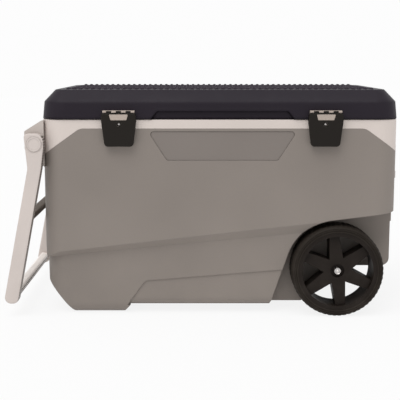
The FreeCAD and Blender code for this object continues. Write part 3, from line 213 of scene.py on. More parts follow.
def new_group(name, inputs, outputs):
    """An empty shader node group; returns its nodes, its input sockets and its output node."""
    tree = bpy.data.node_groups.new(name, "ShaderNodeTree")
    for key, value in inputs.items():
        socket = tree.interface.new_socket(name=key, in_out="INPUT", socket_type="NodeSocketFloat")
        socket.default_value = value
    for key in outputs:
        tree.interface.new_socket(name=key, in_out="OUTPUT", socket_type="NodeSocketFloat")
    nodes = Nodes(tree)
    given = nodes.add("NodeGroupInput").outputs
    result = nodes.add("NodeGroupOutput")
    return nodes, given, result


def object_place(nodes):
    return nodes.add("ShaderNodeTexCoord").outputs["Object"]


def grain_group():
    """Fine moulded texture: a height, and a mask of its low spots."""
    nodes, given, result = new_group("moulded_grain", {"Size": 0.001}, ("Height", "Pits"))
    scale = nodes.math("DIVIDE", 1.0, given["Size"])
    place = object_place(nodes)
    noise = nodes.add("ShaderNodeTexNoise", {"Vector": place, "Scale": scale, "Detail": 3.0}).outputs[0]
    cells = nodes.add("ShaderNodeTexVoronoi", {"Vector": place, "Scale": scale}, feature="SMOOTH_F1")
    rounded = nodes.math("MULTIPLY", cells.outputs[0], 0.5)
    height = nodes.math("ADD", nodes.math("MULTIPLY", noise, 0.6), rounded)
    nodes.tree.links.new(height, result.inputs["Height"])
    nodes.tree.links.new(nodes.spread(height, 0.35, 0.6, 1.0, 0.0), result.inputs["Pits"])
    return nodes.tree


def drift_group():
    """Slow changes across a panel: one of tone, one of gloss."""
    nodes, given, result = new_group("tone_drift", {"Size": 0.25}, ("Tone", "Smudge"))
    scale = nodes.math("DIVIDE", 1.0, given["Size"])
    place = object_place(nodes)
    tone = nodes.add("ShaderNodeTexNoise", {"Vector": place, "Scale": scale, "Detail": 2.0}).outputs[0]
    fine = nodes.math("MULTIPLY", scale, 6.0)
    inputs = {"Vector": place, "Scale": fine, "Detail": 5.0, "Distortion": 0.6}
    smudge = nodes.add("ShaderNodeTexNoise", inputs).outputs[0]
    nodes.tree.links.new(nodes.spread(tone, 0.3, 0.7), result.inputs["Tone"])
    nodes.tree.links.new(nodes.spread(smudge, 0.45, 0.7), result.inputs["Smudge"])
    return nodes.tree


def wear_group():
    """A broken mask along the edges, where hands and ground rub."""
    nodes, given, result = new_group("edge_wear", {"Width": 0.0015, "Break": 0.008}, ("Edge",))
    rounded = nodes.add("ShaderNodeBevel", {"Radius": given["Width"]}, samples=4).outputs[0]
    plain = nodes.add("ShaderNodeNewGeometry").outputs["Normal"]
    dot = nodes.add("ShaderNodeVectorMath", {0: rounded, 1: plain}, operation="DOT_PRODUCT").outputs["Value"]
    edge = nodes.spread(nodes.math("SUBTRACT", 1.0, dot), 0.01, 0.22)
    scale = nodes.math("DIVIDE", 1.0, given["Break"])
    inputs = {"Vector": object_place(nodes), "Scale": scale, "Detail": 4.0}
    patches = nodes.spread(nodes.add("ShaderNodeTexNoise", inputs).outputs[0], 0.38, 0.62)
    nodes.tree.links.new(nodes.math("MULTIPLY", edge, patches), result.inputs["Edge"])
    return nodes.tree


def dust_group():
    """Dust that thickens towards the ground and lies in patches."""
    nodes, given, result = new_group("settled_dust", {"Top": 0.25}, ("Dust",))
    place = object_place(nodes)
    height = nodes.add("ShaderNodeSeparateXYZ", {0: place}).outputs["Z"]
    low = nodes.spread(height, 0.0, given["Top"], 1.0, 0.0)
    cloud = nodes.add("ShaderNodeTexNoise", {"Vector": place, "Scale": 22.0, "Detail": 6.0}).outputs[0]
    patch = nodes.spread(cloud, 0.42, 0.68)
    nodes.tree.links.new(nodes.math("MULTIPLY", low, patch), result.inputs["Dust"])
    return nodes.tree


def stroke_group():
    """Fine straight strokes along X, for brushed metal and scuffs."""
    nodes, given, result = new_group("fine_strokes", {"Width": 0.0004}, ("Stroke",))
    scale = nodes.math("DIVIDE", 1.0, given["Width"])
    inputs = {"Vector": object_place(nodes), "Scale": (0.03, 1.0, 1.0)}
    stretch = nodes.add("ShaderNodeMapping", inputs).outputs[0]
    lines = nodes.add("ShaderNodeTexNoise", {"Vector": stretch, "Scale": scale, "Detail": 2.0}).outputs[0]
    nodes.tree.links.new(lines, result.inputs["Stroke"])
    return nodes.tree


def ribs_group():
    """Painted shade of pockets between ribs: dark stripes on every face that looks along +X."""
    nodes, given, result = new_group("inner_rib_painted_shade", {"Pitch": 0.006}, ("Pocket shade",))
    coordinates = nodes.add("ShaderNodeTexCoord").outputs
    across = nodes.add("ShaderNodeSeparateXYZ", {0: coordinates["Normal"]}).outputs["X"]
    height = nodes.add("ShaderNodeSeparateXYZ", {0: coordinates["Object"]}).outputs["Z"]
    turn = nodes.math("FRACT", nodes.math("DIVIDE", height, given["Pitch"]))
    painted_pocket_shade = nodes.spread(nodes.math("ABSOLUTE", nodes.math("SUBTRACT", turn, 0.5)), 0.3, 0.38, 1.0, 0.12)
    facing = nodes.spread(across, 0.55, 0.75)
    nodes.tree.links.new(nodes.math("MULTIPLY", facing, painted_pocket_shade), result.inputs["Pocket shade"])
    return nodes.tree


def crease_shade_group():
    """Painted shade in narrow grooves and corners, from an ambient occlusion mask."""
    nodes, given, result = new_group("crease_painted_shade", {"Reach": 0.01}, ("Crease",))
    inputs = {"Distance": given["Reach"]}
    open_share = nodes.add("ShaderNodeAmbientOcclusion", inputs, samples=8, only_local=True)
    nodes.tree.links.new(nodes.spread(open_share.outputs["AO"], 0.5, 0.9, 1.0, 0.0), result.inputs["Crease"])
    return nodes.tree


EFFECTS = {}


def effect(name):
    """The shared node group of that name, built the first time it is asked for."""
    makers = {
        "grain": grain_group,
        "drift": drift_group,
        "wear": wear_group,
        "dust": dust_group,
        "stroke": stroke_group,
        "ribs": ribs_group,
        "crease": crease_shade_group,
    }
    if name not in EFFECTS:
        EFFECTS[name] = makers[name]()
    return EFFECTS[name]


# ---- materials ----
def settings():
    return bpy.context.scene.cooler_surface


def colours():
    return bpy.context.scene.cooler_colours


def opaque(colour):
    return (*colour, 1.0)


def scaled(colour, factor):
    return (*[min(1.0, part * factor) for part in colour], 1.0)


def start_material(name):
    """A new material's nodes and its Principled shader, joined to the output."""
    material = bpy.data.materials.new(name)
    material.use_nodes = True
    nodes = Nodes(material.node_tree)
    material.node_tree.nodes.clear()
    shader = nodes.add("ShaderNodeBsdfPrincipled")
    nodes.add("ShaderNodeOutputMaterial", {"Surface": shader.outputs[0]})
    return material, nodes, shader


PIT_SHARE = 0.12  # how far the texture's low spots darken
PIT_TONE = 0.6
SMUDGE_GLOSS = 0.08  # how much glossier a smudge is
DUST_ROUGHNESS = 0.2
METAL_SHADE = 0.86


def moulded(name, colour, roughness, gloss, grain=1.0, depth=1.0, worn=1.5, dusty=1.0, corner=0.8, extra=""):
    """Moulded plastic: grain, slow tone drift, rubbed edges, low dust and an extra painted-shade effect for rib
    pockets or creases.
    """
    look = settings()
    material, nodes, shader = start_material(name)
    shader.inputs["Specular IOR Level"].default_value = gloss
    texture = nodes.group(effect("grain"), Size=look.grain_size * grain)
    drift = nodes.group(effect("drift"))
    wear = nodes.group(effect("wear"), Width=look.wear_width)
    dust = nodes.group(effect("dust"))
    base = nodes.mix(drift["Tone"], scaled(colour, 1 - look.drift), scaled(colour, 1 + look.drift))
    base = nodes.mix(nodes.math("MULTIPLY", texture["Pits"], PIT_SHARE), base, scaled(colour, PIT_TONE))
    base = nodes.mix(nodes.math("MULTIPLY", wear["Edge"], look.wear), base, scaled(colour, worn))
    settled = nodes.math("MULTIPLY", dust["Dust"], look.dust * dusty)
    base = nodes.mix(settled, base, opaque(colours().dust))
    # Painted shade: dark stripes for the shaded pockets between ribs, on faces looking along +X.
    if extra == "ribs":
        painted_pocket_shade = nodes.group(effect("ribs"), Pitch=look.rib_pitch)["Pocket shade"]
        base = nodes.mix(painted_pocket_shade, base, opaque(colours().painted_shade))
    # Painted shade: an ambient occlusion mask darkens grooves and corners towards the shade colour.
    if extra == "crease":
        base = nodes.mix(nodes.group(effect("crease"))["Crease"], base, opaque(colours().painted_shade))
    nodes.tree.links.new(base, shader.inputs["Base Color"])
    rough = nodes.spread(drift["Smudge"], 0.0, 1.0, roughness, roughness - SMUDGE_GLOSS)
    rough = nodes.math("ADD", rough, nodes.math("MULTIPLY", settled, DUST_ROUGHNESS))
    nodes.tree.links.new(rough, shader.inputs["Roughness"])
    soft = nodes.add("ShaderNodeBevel", {"Radius": corner * MM}, samples=4).outputs[0]
    inputs = {"Height": texture["Height"], "Normal": soft, "Distance": look.grain_depth * depth}
    nodes.tree.links.new(nodes.add("ShaderNodeBump", inputs).outputs[0], shader.inputs["Normal"])
    return material


def body_plastic():
    return moulded("body_plastic", colours().body, 0.56, 0.3, corner=3.0, worn=1.35)


def plate_plastic():
    return moulded("plate_plastic", colours().plate, 0.5, 0.3, grain=0.5, depth=0.6)


def collar_plastic():
    return moulded("collar_plastic", colours().collar, 0.5, 0.35, depth=0.5, worn=1.15, corner=1.2)


def handle_plastic():
    return moulded("handle_plastic", colours().handle, 0.46, 0.35, depth=0.5, worn=1.15, corner=1.5)


# Painted shade: the brackets' darker colour stands in for shade falling on them.
def bracket_shaded_plastic():
    return moulded("bracket_shaded_plastic", colours().bracket, 0.46, 0.35, depth=0.5, worn=1.1, corner=1.5)


def arm_plastic():
    """The tow arms' plastic, with painted shade for the ribbed pockets of their inner side."""
    return moulded("arm_plastic", colours().handle, 0.46, 0.35, depth=0.5, worn=1.15, corner=3.0, extra="ribs")


def grip_painted_light_plastic():
    """The pull bar's plastic, lightened as a painted highlight, with painted shade in its grooves."""
    return moulded("grip_painted_light_plastic", colours().grip, 0.46, 0.35, depth=0.5, worn=1.1, corner=1.5, extra="crease")


# Its crease effect paints shade into the grooves between the crossbar's ribs.
def crossbar_plastic():
    return moulded("crossbar_plastic", colours().crossbar, 0.55, 0.2, grain=0.8, worn=1.6, extra="crease")


def lid_plastic():
    return moulded("lid_plastic", colours().lid, 0.5, 0.13, grain=1.3, worn=1.8, dusty=0.0, corner=9.0)


def stud_sheen_plastic():
    """The lid's plastic on the small grip studs, in a lighter colour that paints the sheen of the lid's top."""
    return moulded("stud_sheen_plastic", colours().stud, 0.55, 0.1, grain=1.3, worn=1.6, dusty=0.0)


def liner_plastic():
    return moulded("liner_plastic", colours().liner, 0.32, 0.45, grain=3.0, depth=0.4, worn=1.1, dusty=0.0)


def latch_plastic():
    return moulded("latch_plastic", colours().latch, 0.45, 0.12, grain=0.6, depth=0.7, worn=2.4, dusty=0.0)


def latch_bar_plastic():
    return moulded("latch_bar_plastic", colours().latch_bar, 0.42, 0.35, grain=0.6, depth=0.5, dusty=0.0)


def wheel_plastic():
    return moulded("wheel_plastic", colours().wheel, 0.5, 0.1, grain=0.8, worn=1.8, dusty=0.3, corner=1.2)


def foam_fill():
    return moulded("foam_fill", colours().foam, 0.9, 0.1, grain=2.4, depth=12.0, worn=1.0, dusty=0.0)


def seal_rubber():
    return moulded("seal_rubber", colours().tyre, 0.7, 0.2, grain=0.5, worn=1.2, dusty=0.0)


def tyre_rubber():
    """Tyre rubber: grain, dust in the tread and paler scuffs on the lugs."""
    return moulded("tyre_rubber", colours().tyre, 0.66, 0.1, grain=0.7, depth=1.4, worn=1.6, dusty=0.5)


def metal(name, colour, roughness, stroke):
    """Metal with fine strokes in its gloss and its height, and slow smudges."""
    material, nodes, shader = start_material(name)
    shader.inputs["Metallic"].default_value = 1.0
    strokes = nodes.group(effect("stroke"), Width=stroke * MM)["Stroke"]
    drift = nodes.group(effect("drift"), Size=0.02)
    base = nodes.mix(drift["Tone"], scaled(colour, METAL_SHADE), opaque(colour))
    nodes.tree.links.new(base, shader.inputs["Base Color"])
    rough = nodes.spread(strokes, 0.3, 0.7, roughness - 0.08, roughness + 0.1)
    nodes.tree.links.new(rough, shader.inputs["Roughness"])
    soft = nodes.add("ShaderNodeBevel", {"Radius": 0.4 * MM}, samples=4).outputs[0]
    inputs = {"Height": strokes, "Normal": soft, "Distance": 0.01 * MM}
    nodes.tree.links.new(nodes.add("ShaderNodeBump", inputs).outputs[0], shader.inputs["Normal"])
    return material


def plated_steel():
    return metal("plated_steel", (0.6, 0.6, 0.61), 0.34, 0.4)


def cap_metal():
    return metal("cap_metal", (0.78, 0.74, 0.71), 0.3, 0.3)


FINISHES = {
    "body_shell": body_plastic,
    "front_plate": plate_plastic,
    "collar_white": collar_plastic,
    "handle_white": handle_plastic,
    "lid_dark": lid_plastic,
    "liner_white": liner_plastic,
    "foam": foam_fill,
    "latch_tan": latch_bar_plastic,
    "latch_black": latch_plastic,
    "wheel_black": wheel_plastic,
    "tyre_black": tyre_rubber,
    "seal_rubber": seal_rubber,
    "steel": plated_steel,
    "cap_silver": cap_metal,
}
FINE_FINISHES = {
    "arm": arm_plastic,
    "bracket": bracket_shaded_plastic,
    "grip": grip_painted_light_plastic,
    "crossbar": crossbar_plastic,
    "stud": stud_sheen_plastic,
}
MADE = {}


def finish_of(slot):
    """The material of one of the record's slots, or one of the finer ones, built once."""
    if slot not in MADE:
        MADE[slot] = {**FINISHES, **FINE_FINISHES}[slot]()
    return MADE[slot]


def slot_of(node):
    rows = frame["record"]["subparts"]
    return next(row["material_slot"] for row in rows if row["node"] == node)


def dress(*nodes, finish=None):
    """Gives CAD nodes the finish of their slots, or a finer one."""
    for name in nodes:
        mesh = frame["nodes"][name].data
        mesh.materials.clear()
        mesh.materials.append(finish_of(finish or slot_of(name)))


# ---- meshes ----
def body_of(node):
    bodies = frame["record"]["behaviour"]["bodies"]
    return next(body for body, members in bodies.items() if node in members)


def stand_for(name, mesh, *nodes, finish=None):
    """A new piece that stands for CAD nodes, on their body and in their slot."""
    piece = add_piece(name, mesh, body_of(nodes[0]), slot_of(nodes[0]), finish)
    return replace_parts(piece, *nodes)


def add_piece(name, mesh, body, slot, finish=None):
    piece = bpy.data.objects.new(name, mesh)
    bpy.context.scene.collection.objects.link(piece)
    mesh.materials.clear()
    mesh.materials.append(finish_of(finish or slot))
    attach(piece, body)
    return piece


def mesh_from(name, form, crease=35):
    """Turns a bmesh into a mesh, smooth except over edges sharper than crease degrees."""
    bmesh.ops.recalc_face_normals(form, faces=form.faces)
    for face in form.faces:
        face.smooth = True
    for edge in form.edges:
        if len(edge.link_faces) == 2 and edge.calc_face_angle() > math.radians(crease):
            edge.smooth = False
    mesh = bpy.data.meshes.new(name)
    form.to_mesh(mesh)
    form.free()
    return mesh


def ring_points(profile, centre, steps, shift=None):
    """Rings of points about the Y axis through centre; shift(r, y, angle) changes a point's radius."""
    rings = []
    for step in range(steps):
        angle = 2 * math.pi * step / steps
        ring = []
        for radius, y in profile:
            reach = radius + (shift(radius, y, angle) if shift else 0.0)
            ring.append(Vector((centre.x + reach * math.sin(angle), y, centre.z + reach * math.cos(angle))))
        rings.append(ring)
    return rings


def revolve(form, profile, centre, steps, shift=None, closed=True):
    """A surface turned about the Y axis; a closed profile makes a ring."""
    rings = [[form.verts.new(p) for p in ring] for ring in ring_points(profile, centre, steps, shift)]
    span = len(profile) if closed else len(profile) - 1
    for i in range(steps):
        here, there = rings[i], rings[(i + 1) % steps]
        for j in range(span):
            k = (j + 1) % len(profile)
            form.faces.new((here[j], here[k], there[k], there[j]))


def islands(node):
    """The points of each separate solid in a node."""
    form = bmesh.new()
    form.from_mesh(frame["nodes"][node].data)
    bmesh.ops.remove_doubles(form, verts=form.verts, dist=0.001 * MM)
    left = set(form.verts)
    groups = []
    while left:
        reached = [left.pop()]
        for vertex in reached:
            for edge in vertex.link_edges:
                other = edge.other_vert(vertex)
                if other in left:
                    left.remove(other)
                    reached.append(other)
        groups.append([vertex.co.copy() for vertex in reached])
    form.free()
    return groups


def screw_head(points):
    """Seat, outward direction, radius and height of a screw's head, from the screw's points."""
    low = Vector([min(p[axis] for p in points) for axis in range(3)])
    high = Vector([max(p[axis] for p in points) for axis in range(3)])
    size = high - low
    along = max(range(3), key=lambda axis: size[axis])
    sides = [axis for axis in range(3) if axis != along]
    middle = (low + high) / 2
    reach = [math.hypot(*[p[axis] - middle[axis] for axis in sides]) for p in points]
    radius = max(reach)
    head = [p[along] for p, r in zip(points, reach) if r > 0.9 * radius]
    way = 1.0 if max(head) > high[along] - 0.5 * MM else -1.0
    seat = middle.copy()
    seat[along] = min(head) if way > 0 else max(head)
    out = Vector((0, 0, 0))
    out[along] = way
    return seat, out, radius, max(head) - min(head)


def pan_head(form, seat, out, radius, height, sunk=0.4):
    """A domed head, with a cross sunk into it unless that is 0."""
    turn = out.to_track_quat("Z", "Y")
    steps, rings = 48, 12
    arm_half, arm_reach = 0.1, 0.5
    skirt = 0.55 * height
    rows = []
    for ring in range(1, rings + 1):
        reach = ring / rings
        row = []
        for step in range(steps):
            angle = 2 * math.pi * step / steps
            x, y = reach * math.cos(angle), reach * math.sin(angle)
            crossed = min(abs(x), abs(y)) < arm_half and max(abs(x), abs(y)) < arm_reach
            rise = 1.0 - 0.06 * reach**2 - 0.35 * reach**10 - (sunk if crossed else 0.0)
            row.append(form.verts.new(seat + turn @ Vector((x * radius, y * radius, rise * height))))
        rows.append(row)
    foot = [form.verts.new(vertex.co - out * skirt) for vertex in rows[-1]]
    rows.append(foot)
    form.faces.new(rows[0])
    form.faces.new(foot[::-1])
    for inner, outer in zip(rows, rows[1:]):
        for i in range(steps):
            j = (i + 1) % steps
            form.faces.new((inner[i], inner[j], outer[j], outer[i]))


def pan_heads(node, finish=None, sunk=0.4):
    """Domed heads in place of a node's plain screws; their shanks stay hidden in their holes."""
    form = bmesh.new()
    for points in islands(node):
        pan_head(form, *screw_head(points), sunk)
    name = node.replace("screws", "pan_heads")
    return stand_for(name, mesh_from(name, form, crease=25), node, finish=finish)


# ---- operators ----
class CoolerOperator(bpy.types.Operator):
    """Shared settings of the cooler's operators."""

    bl_options = {"REGISTER", "UNDO"}


class COOLER_OT_shells(CoolerOperator):
    """Finish the body: outer shell, collar, tub and foam"""

    bl_idname = "cooler.shells"
    bl_label = "Body Shells"

    def execute(self, context):
        dress("outer_shell", "front_plate", "collar", "foam_core")
        dress("liner_band", "liner_step", "liner_well", "liner_shelf")
        return {"FINISHED"}


FIELD_RISE = 3 * MM  # height of the CAD's raised field over the lid's top
STUD_TOP = 0.6  # a stud's top beside its foot


def stud(form, middle, detail, height):
    """One grip stud: a six-sided lozenge with a smaller flat top."""
    corners = 6
    low, high = [], []
    for corner in range(corners):
        angle = 2 * math.pi * corner / corners
        x = math.cos(angle) * detail.stud_length / 2
        y = math.sin(angle) * detail.stud_width / 2
        low.append(form.verts.new(middle + Vector((x, y, 0))))
        high.append(form.verts.new(middle + Vector((x * STUD_TOP, y * STUD_TOP, height))))
    for i in range(corners):
        j = (i + 1) % corners
        form.faces.new((low[i], low[j], high[j], high[i]))
    form.faces.new(high)
    form.faces.new(low[::-1])


def field_of(node):
    """Low and high corners of the raised field on top of the lid."""
    low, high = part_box(node)
    top = [v.co for v in frame["nodes"][node].data.vertices if v.co.z > high.z - 0.1 * MM]
    xs, ys = [p.x for p in top], [p.y for p in top]
    return Vector((min(xs), min(ys), high.z)), Vector((max(xs), max(ys), high.z))


def lid_cover_form():
    """The lid's cover and its grip strip in one form, without the faces between the two."""
    form = bmesh.new()
    form.from_mesh(frame["nodes"]["lid_shell"].data)
    form.from_mesh(frame["nodes"]["lid_grip"].data)
    low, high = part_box("lid_grip")
    near = 0.02 * MM
    seams = ((0, low.x), (0, high.x), (2, high.z))
    inner = []
    for face in form.faces:
        points = [vertex.co for vertex in face.verts]
        beside = all(low.x - near < p.x < high.x + near and p.y < high.y + near for p in points)
        on_seam = any(all(abs(p[axis] - place) < near for p in points) for axis, place in seams)
        if beside and on_seam:
            inner.append(face)
    bmesh.ops.delete(form, geom=inner, context="FACES")
    bmesh.ops.remove_doubles(form, verts=form.verts, dist=near)
    return form


class COOLER_OT_lid(CoolerOperator):
    """Model the lid cover with its studded grip field, and finish the lid's inner pieces"""

    bl_idname = "cooler.lid"
    bl_label = "Lid"

    def execute(self, context):
        detail = context.scene.cooler_detail
        dress("lid_inner_panel", "lid_foam", "lid_gasket")
        low, high = field_of("lid_shell")
        base = high.z - FIELD_RISE
        cover = lid_cover_form()
        for vertex in cover.verts:
            if vertex.co.z > base:
                vertex.co.z = base + (vertex.co.z - base) * (1 - detail.stud_height / FIELD_RISE)
        stand_for("lid_cover", mesh_from("lid_cover", cover), "lid_shell", "lid_grip")
        form = bmesh.new()
        seat = high.z - detail.stud_height
        edge = detail.stud_length
        rows = int((high.y - low.y - 2 * edge) / detail.stud_row)
        columns = int((high.x - low.x - 2 * edge) / detail.stud_pitch)
        middle = (low + high) / 2
        for row in range(rows + 1):
            y = middle.y + (row - rows / 2) * detail.stud_row
            tall = min(row, rows - row) < detail.tall_rows
            shifted = 0 if tall else row % 2
            height = detail.stud_height * (1.0 if tall else detail.low_stud)
            for column in range(columns + 1 - shifted):
                x = middle.x + (column + shifted / 2 - columns / 2) * detail.stud_pitch
                stud(form, Vector((x, y, seat)), detail, height)
        add_piece("lid_grip_studs", mesh_from("lid_grip_studs", form), "lid", "lid_dark", "stud")
        return {"FINISHED"}


class COOLER_OT_hinges(CoolerOperator):
    """Finish the rear hinges, their pins and screws"""

    bl_idname = "cooler.hinges"
    bl_label = "Rear Hinges"

    def execute(self, context):
        dress("lid_hinge_leaves", "body_hinge_leaves", "hinge_pins")
        pan_heads("lid_hinge_screws")
        pan_heads("body_hinge_screws")
        return {"FINISHED"}


class COOLER_OT_latches(CoolerOperator):
    """Finish both latches, their keepers, pins and screws"""

    bl_idname = "cooler.latches"
    bl_label = "Latches"

    def execute(self, context):
        for side in ("left", "right"):
            dress("latch_base_" + side, "latch_lever_" + side, "latch_inset_" + side)
            dress("latch_pin_" + side, "latch_keeper_" + side)
        pan_heads("latch_base_screws")
        pan_heads("keeper_screws", finish="cap_silver", sunk=0.0)
        return {"FINISHED"}


TREAD_BAND = 4 * MM  # how far below its outside the tyre has tread
LUG_LEAN = 0.35 / (18 * MM)  # lean of the blocks, in blocks per metre from the tread's middle
LUG_GAP = 0.4  # a groove's share of one block's pitch
LUG_STEPS = 8


def tyre_profile(outer, inner, y_out, y_in):
    """Half of the tyre's section from the bead to the tread's middle, then mirrored."""
    out = 1 if y_out > y_in else -1
    half = [
        (inner, 1.0),
        (inner + 0.6 * MM, 0.4),
        (inner + 3.4 * MM, 0.4),
        (inner + 3.9 * MM, 1.6),
        (inner + 4.7 * MM, 1.6),
        (inner + 5.4 * MM, 0.3),
        (inner + 7.0 * MM, 0.2),
        (outer - 8.4 * MM, 0.9),
        (outer - 7.8 * MM, 2.0),
        (outer - 7.0 * MM, 2.1),
        (outer - 6.2 * MM, 1.6),
        (outer - 4.6 * MM, 2.4),
        (outer - 2.4 * MM, 4.2),
        (outer - 0.8 * MM, 7.4),
        (outer, 12.0),
        (outer, 17.0),
        (outer, 22.0),
    ]
    near = [(radius, y_out - out * depth * MM) for radius, depth in half]
    far = [(radius, y_in + out * depth * MM) for radius, depth in reversed(half)]
    return near + far


# Radius and height of the axle cap's face, as shares of the cap's own.
CAP_FACE = (
    (0.98, 0.0),
    (1.0, 0.25),
    (0.97, 0.8),
    (0.88, 1.0),
    (0.76, 0.93),
    (0.68, 0.62),
    (0.6, 0.5),
    (0.46, 0.5),
    (0.4, 0.86),
    (0.28, 0.95),
    (0.02, 0.97),
    (0.02, 0.0),
)


def axle_cap_mesh(name):
    """Both pressed caps on the axle's ends: a rolled rim, a dished face and a small round boss."""
    low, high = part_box("axle_caps")
    points = [vertex.co for vertex in frame["nodes"]["axle_caps"].data.vertices]
    centre = (low + high) / 2
    radius = (high.x - low.x) / 2
    form = bmesh.new()
    for out in (-1, 1):
        face = high.y if out > 0 else low.y
        seat = min(p.y for p in points if p.y > 0) if out > 0 else max(p.y for p in points if p.y < 0)
        rise = out * abs(face - seat)
        revolve(form, [(radius * reach, seat + rise * level) for reach, level in CAP_FACE], centre, 48)
    return mesh_from(name, form)


class COOLER_OT_wheels(CoolerOperator):
    """Model both tyres with their tread, and finish the wheels"""

    bl_idname = "cooler.wheels"
    bl_label = "Wheels"

    def execute(self, context):
        detail = context.scene.cooler_detail
        for side in SIDES:
            node = "wheel_tyre_" + side
            low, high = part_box(node)
            centre = (low + high) / 2
            outer = (high.x - low.x) / 2
            y_out, y_in = (low.y, high.y) if side == "front" else (high.y, low.y)
            rim_low, rim_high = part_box("wheel_rim_" + side)
            inner = (rim_high.x - rim_low.x) / 2

            def tread(radius, y, angle):
                """Cuts grooves between blocks that lean opposite ways on the two halves."""
                if radius < outer - TREAD_BAND:
                    return 0.0
                lean = LUG_LEAN * abs(y - centre.y)
                turn = angle / (2 * math.pi) * detail.lug_count + lean
                groove = abs(turn % 1.0 - 0.5) < LUG_GAP / 2
                return -detail.lug_depth if groove else 0.0

            form = bmesh.new()
            steps = detail.lug_count * LUG_STEPS
            revolve(form, tyre_profile(outer, inner, y_out, y_in), centre, steps, tread)
            stand_for("tyre_" + side, mesh_from("tyre_" + side, form), node)
            dress("wheel_rim_" + side, "wheel_centre_" + side, "wheel_bush_" + side)
        stand_for("axle_end_caps", axle_cap_mesh("axle_end_caps"), "axle_caps")
        dress("axle", "axle_spacers", "axle_clamps")
        pan_heads("axle_clamp_screws")
        return {"FINISHED"}


def ribbed_bar(node, ribs):
    """A copy of a bar along Y with ribs cut round it; its ends stay full for the arms."""
    low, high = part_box(node)
    form = bmesh.new()
    form.from_mesh(frame["nodes"][node].data)
    full_end = 8 * MM
    core = 0.84
    first = low.y + full_end
    pitch = (high.y - low.y - 2 * full_end) / ribs
    edge = 0.12 * pitch
    grooves = [(first + (i + 0.3) * pitch, first + (i + 0.7) * pitch) for i in range(ribs)]
    for start, stop in grooves:
        for y in (start - edge, start + edge, stop - edge, stop + edge):
            geometry = form.verts[:] + form.edges[:] + form.faces[:]
            bmesh.ops.bisect_plane(form, geom=geometry, plane_co=(0, y, 0), plane_no=(0, 1, 0))
    middle = (low + high) / 2
    for vertex in form.verts:
        if any(start + edge / 2 < vertex.co.y < stop - edge / 2 for start, stop in grooves):
            vertex.co.x = middle.x + (vertex.co.x - middle.x) * core
            vertex.co.z = middle.z + (vertex.co.z - middle.z) * core
    return form


def pivot_bead(form, centre, radius, face, out):
    """A rolled bead on the arm, round its pivot cap."""
    section = [(0.1, 0.0), (0.3, 0.9), (1.0, 1.4), (1.8, 1.0), (2.1, 0.0)]
    profile = [(radius + reach * MM, face + out * rise * MM) for reach, rise in section]
    revolve(form, profile, centre, 72)


class COOLER_OT_tow_handle(CoolerOperator):
    """Model the crossbar's ribs and the pivot beads, and finish the tow handle"""

    bl_idname = "cooler.tow_handle"
    bl_label = "Tow Handle"

    def execute(self, context):
        detail = context.scene.cooler_detail
        for side in SIDES:
            dress("tow_arm_" + side, finish="arm")
            dress("tow_pivot_cap_" + side)
            low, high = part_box("tow_pivot_cap_" + side)
            out = -1 if side == "front" else 1
            seat = high.y if side == "front" else low.y
            form = bmesh.new()
            pivot_bead(form, (low + high) / 2, (high.x - low.x) / 2, seat, out)
            name = "tow_pivot_bead_" + side
            add_piece(name, mesh_from(name, form), "tow_handle", "handle_white")
        bar = mesh_from("tow_ribbed_bar", ribbed_bar("tow_crossbar", detail.rib_count))
        stand_for("tow_ribbed_bar", bar, "tow_crossbar", finish="crossbar")
        dress("tow_grip", finish="grip")
        dress("tow_brackets", finish="bracket")
        dress("tow_pivot_bolts")
        pan_heads("tow_bracket_screws")
        return {"FINISHED"}


class COOLER_OT_lift_handle(CoolerOperator):
    """Finish the lift handle at the wheel end"""

    bl_idname = "cooler.lift_handle"
    bl_label = "Lift Handle"

    def execute(self, context):
        dress("lift_handle", "lift_lugs", "lift_pins")
        pan_heads("lift_lug_screws")
        return {"FINISHED"}


class COOLER_OT_drain(CoolerOperator):
    """Finish the rear drain"""

    bl_idname = "cooler.drain"
    bl_label = "Drain"

    def execute(self, context):
        dress("drain_housing", "drain_gasket", "drain_nut", "drain_plug")
        return {"FINISHED"}


def camera_for(stage):
    data = bpy.data.cameras.new("camera")
    data.lens = stage.camera_lens
    data.sensor_width = 36.0
    camera = bpy.data.objects.new("camera", data)
    camera.location = (-stage.camera_side, -stage.camera_back, stage.camera_height)
    camera.rotation_euler = (math.pi / 2 - stage.camera_tilt, 0.0, 0.0)
    bpy.context.scene.collection.objects.link(camera)
    bpy.context.scene.camera = camera


def soft_sun(name, way, strength, spread):
    """A soft light with no falloff, shining along way."""
    data = bpy.data.lights.new(name, "SUN")
    data.energy = strength
    data.angle = spread
    lamp = bpy.data.objects.new(name, data)
    lamp.rotation_mode = "QUATERNION"
    lamp.rotation_quaternion = way.to_track_quat("-Z", "Y")
    bpy.context.scene.collection.objects.link(lamp)


def seen_directly(nodes):
    """1 where a camera, mirror or glass ray looks straight at the surface, else 0."""
    path = nodes.add("ShaderNodeLightPath").outputs
    glossy = nodes.math("MAXIMUM", path["Is Camera Ray"], path["Is Glossy Ray"])
    return nodes.math("MAXIMUM", glossy, path["Is Transmission Ray"])


def pale_sky(stage):
    world = bpy.data.worlds.new("pale_sky")
    world.use_nodes = True
    world.node_tree.nodes.clear()
    nodes = Nodes(world.node_tree)
    strength = nodes.spread(seen_directly(nodes), 0.0, 1.0, stage.sky, stage.backdrop)
    background = nodes.add("ShaderNodeBackground", {"Strength": strength})
    background.inputs["Color"].default_value = (1.0, 1.0, 1.0, 1.0)
    nodes.add("ShaderNodeOutputWorld", {"Surface": background.outputs[0]})
    bpy.context.scene.world = world


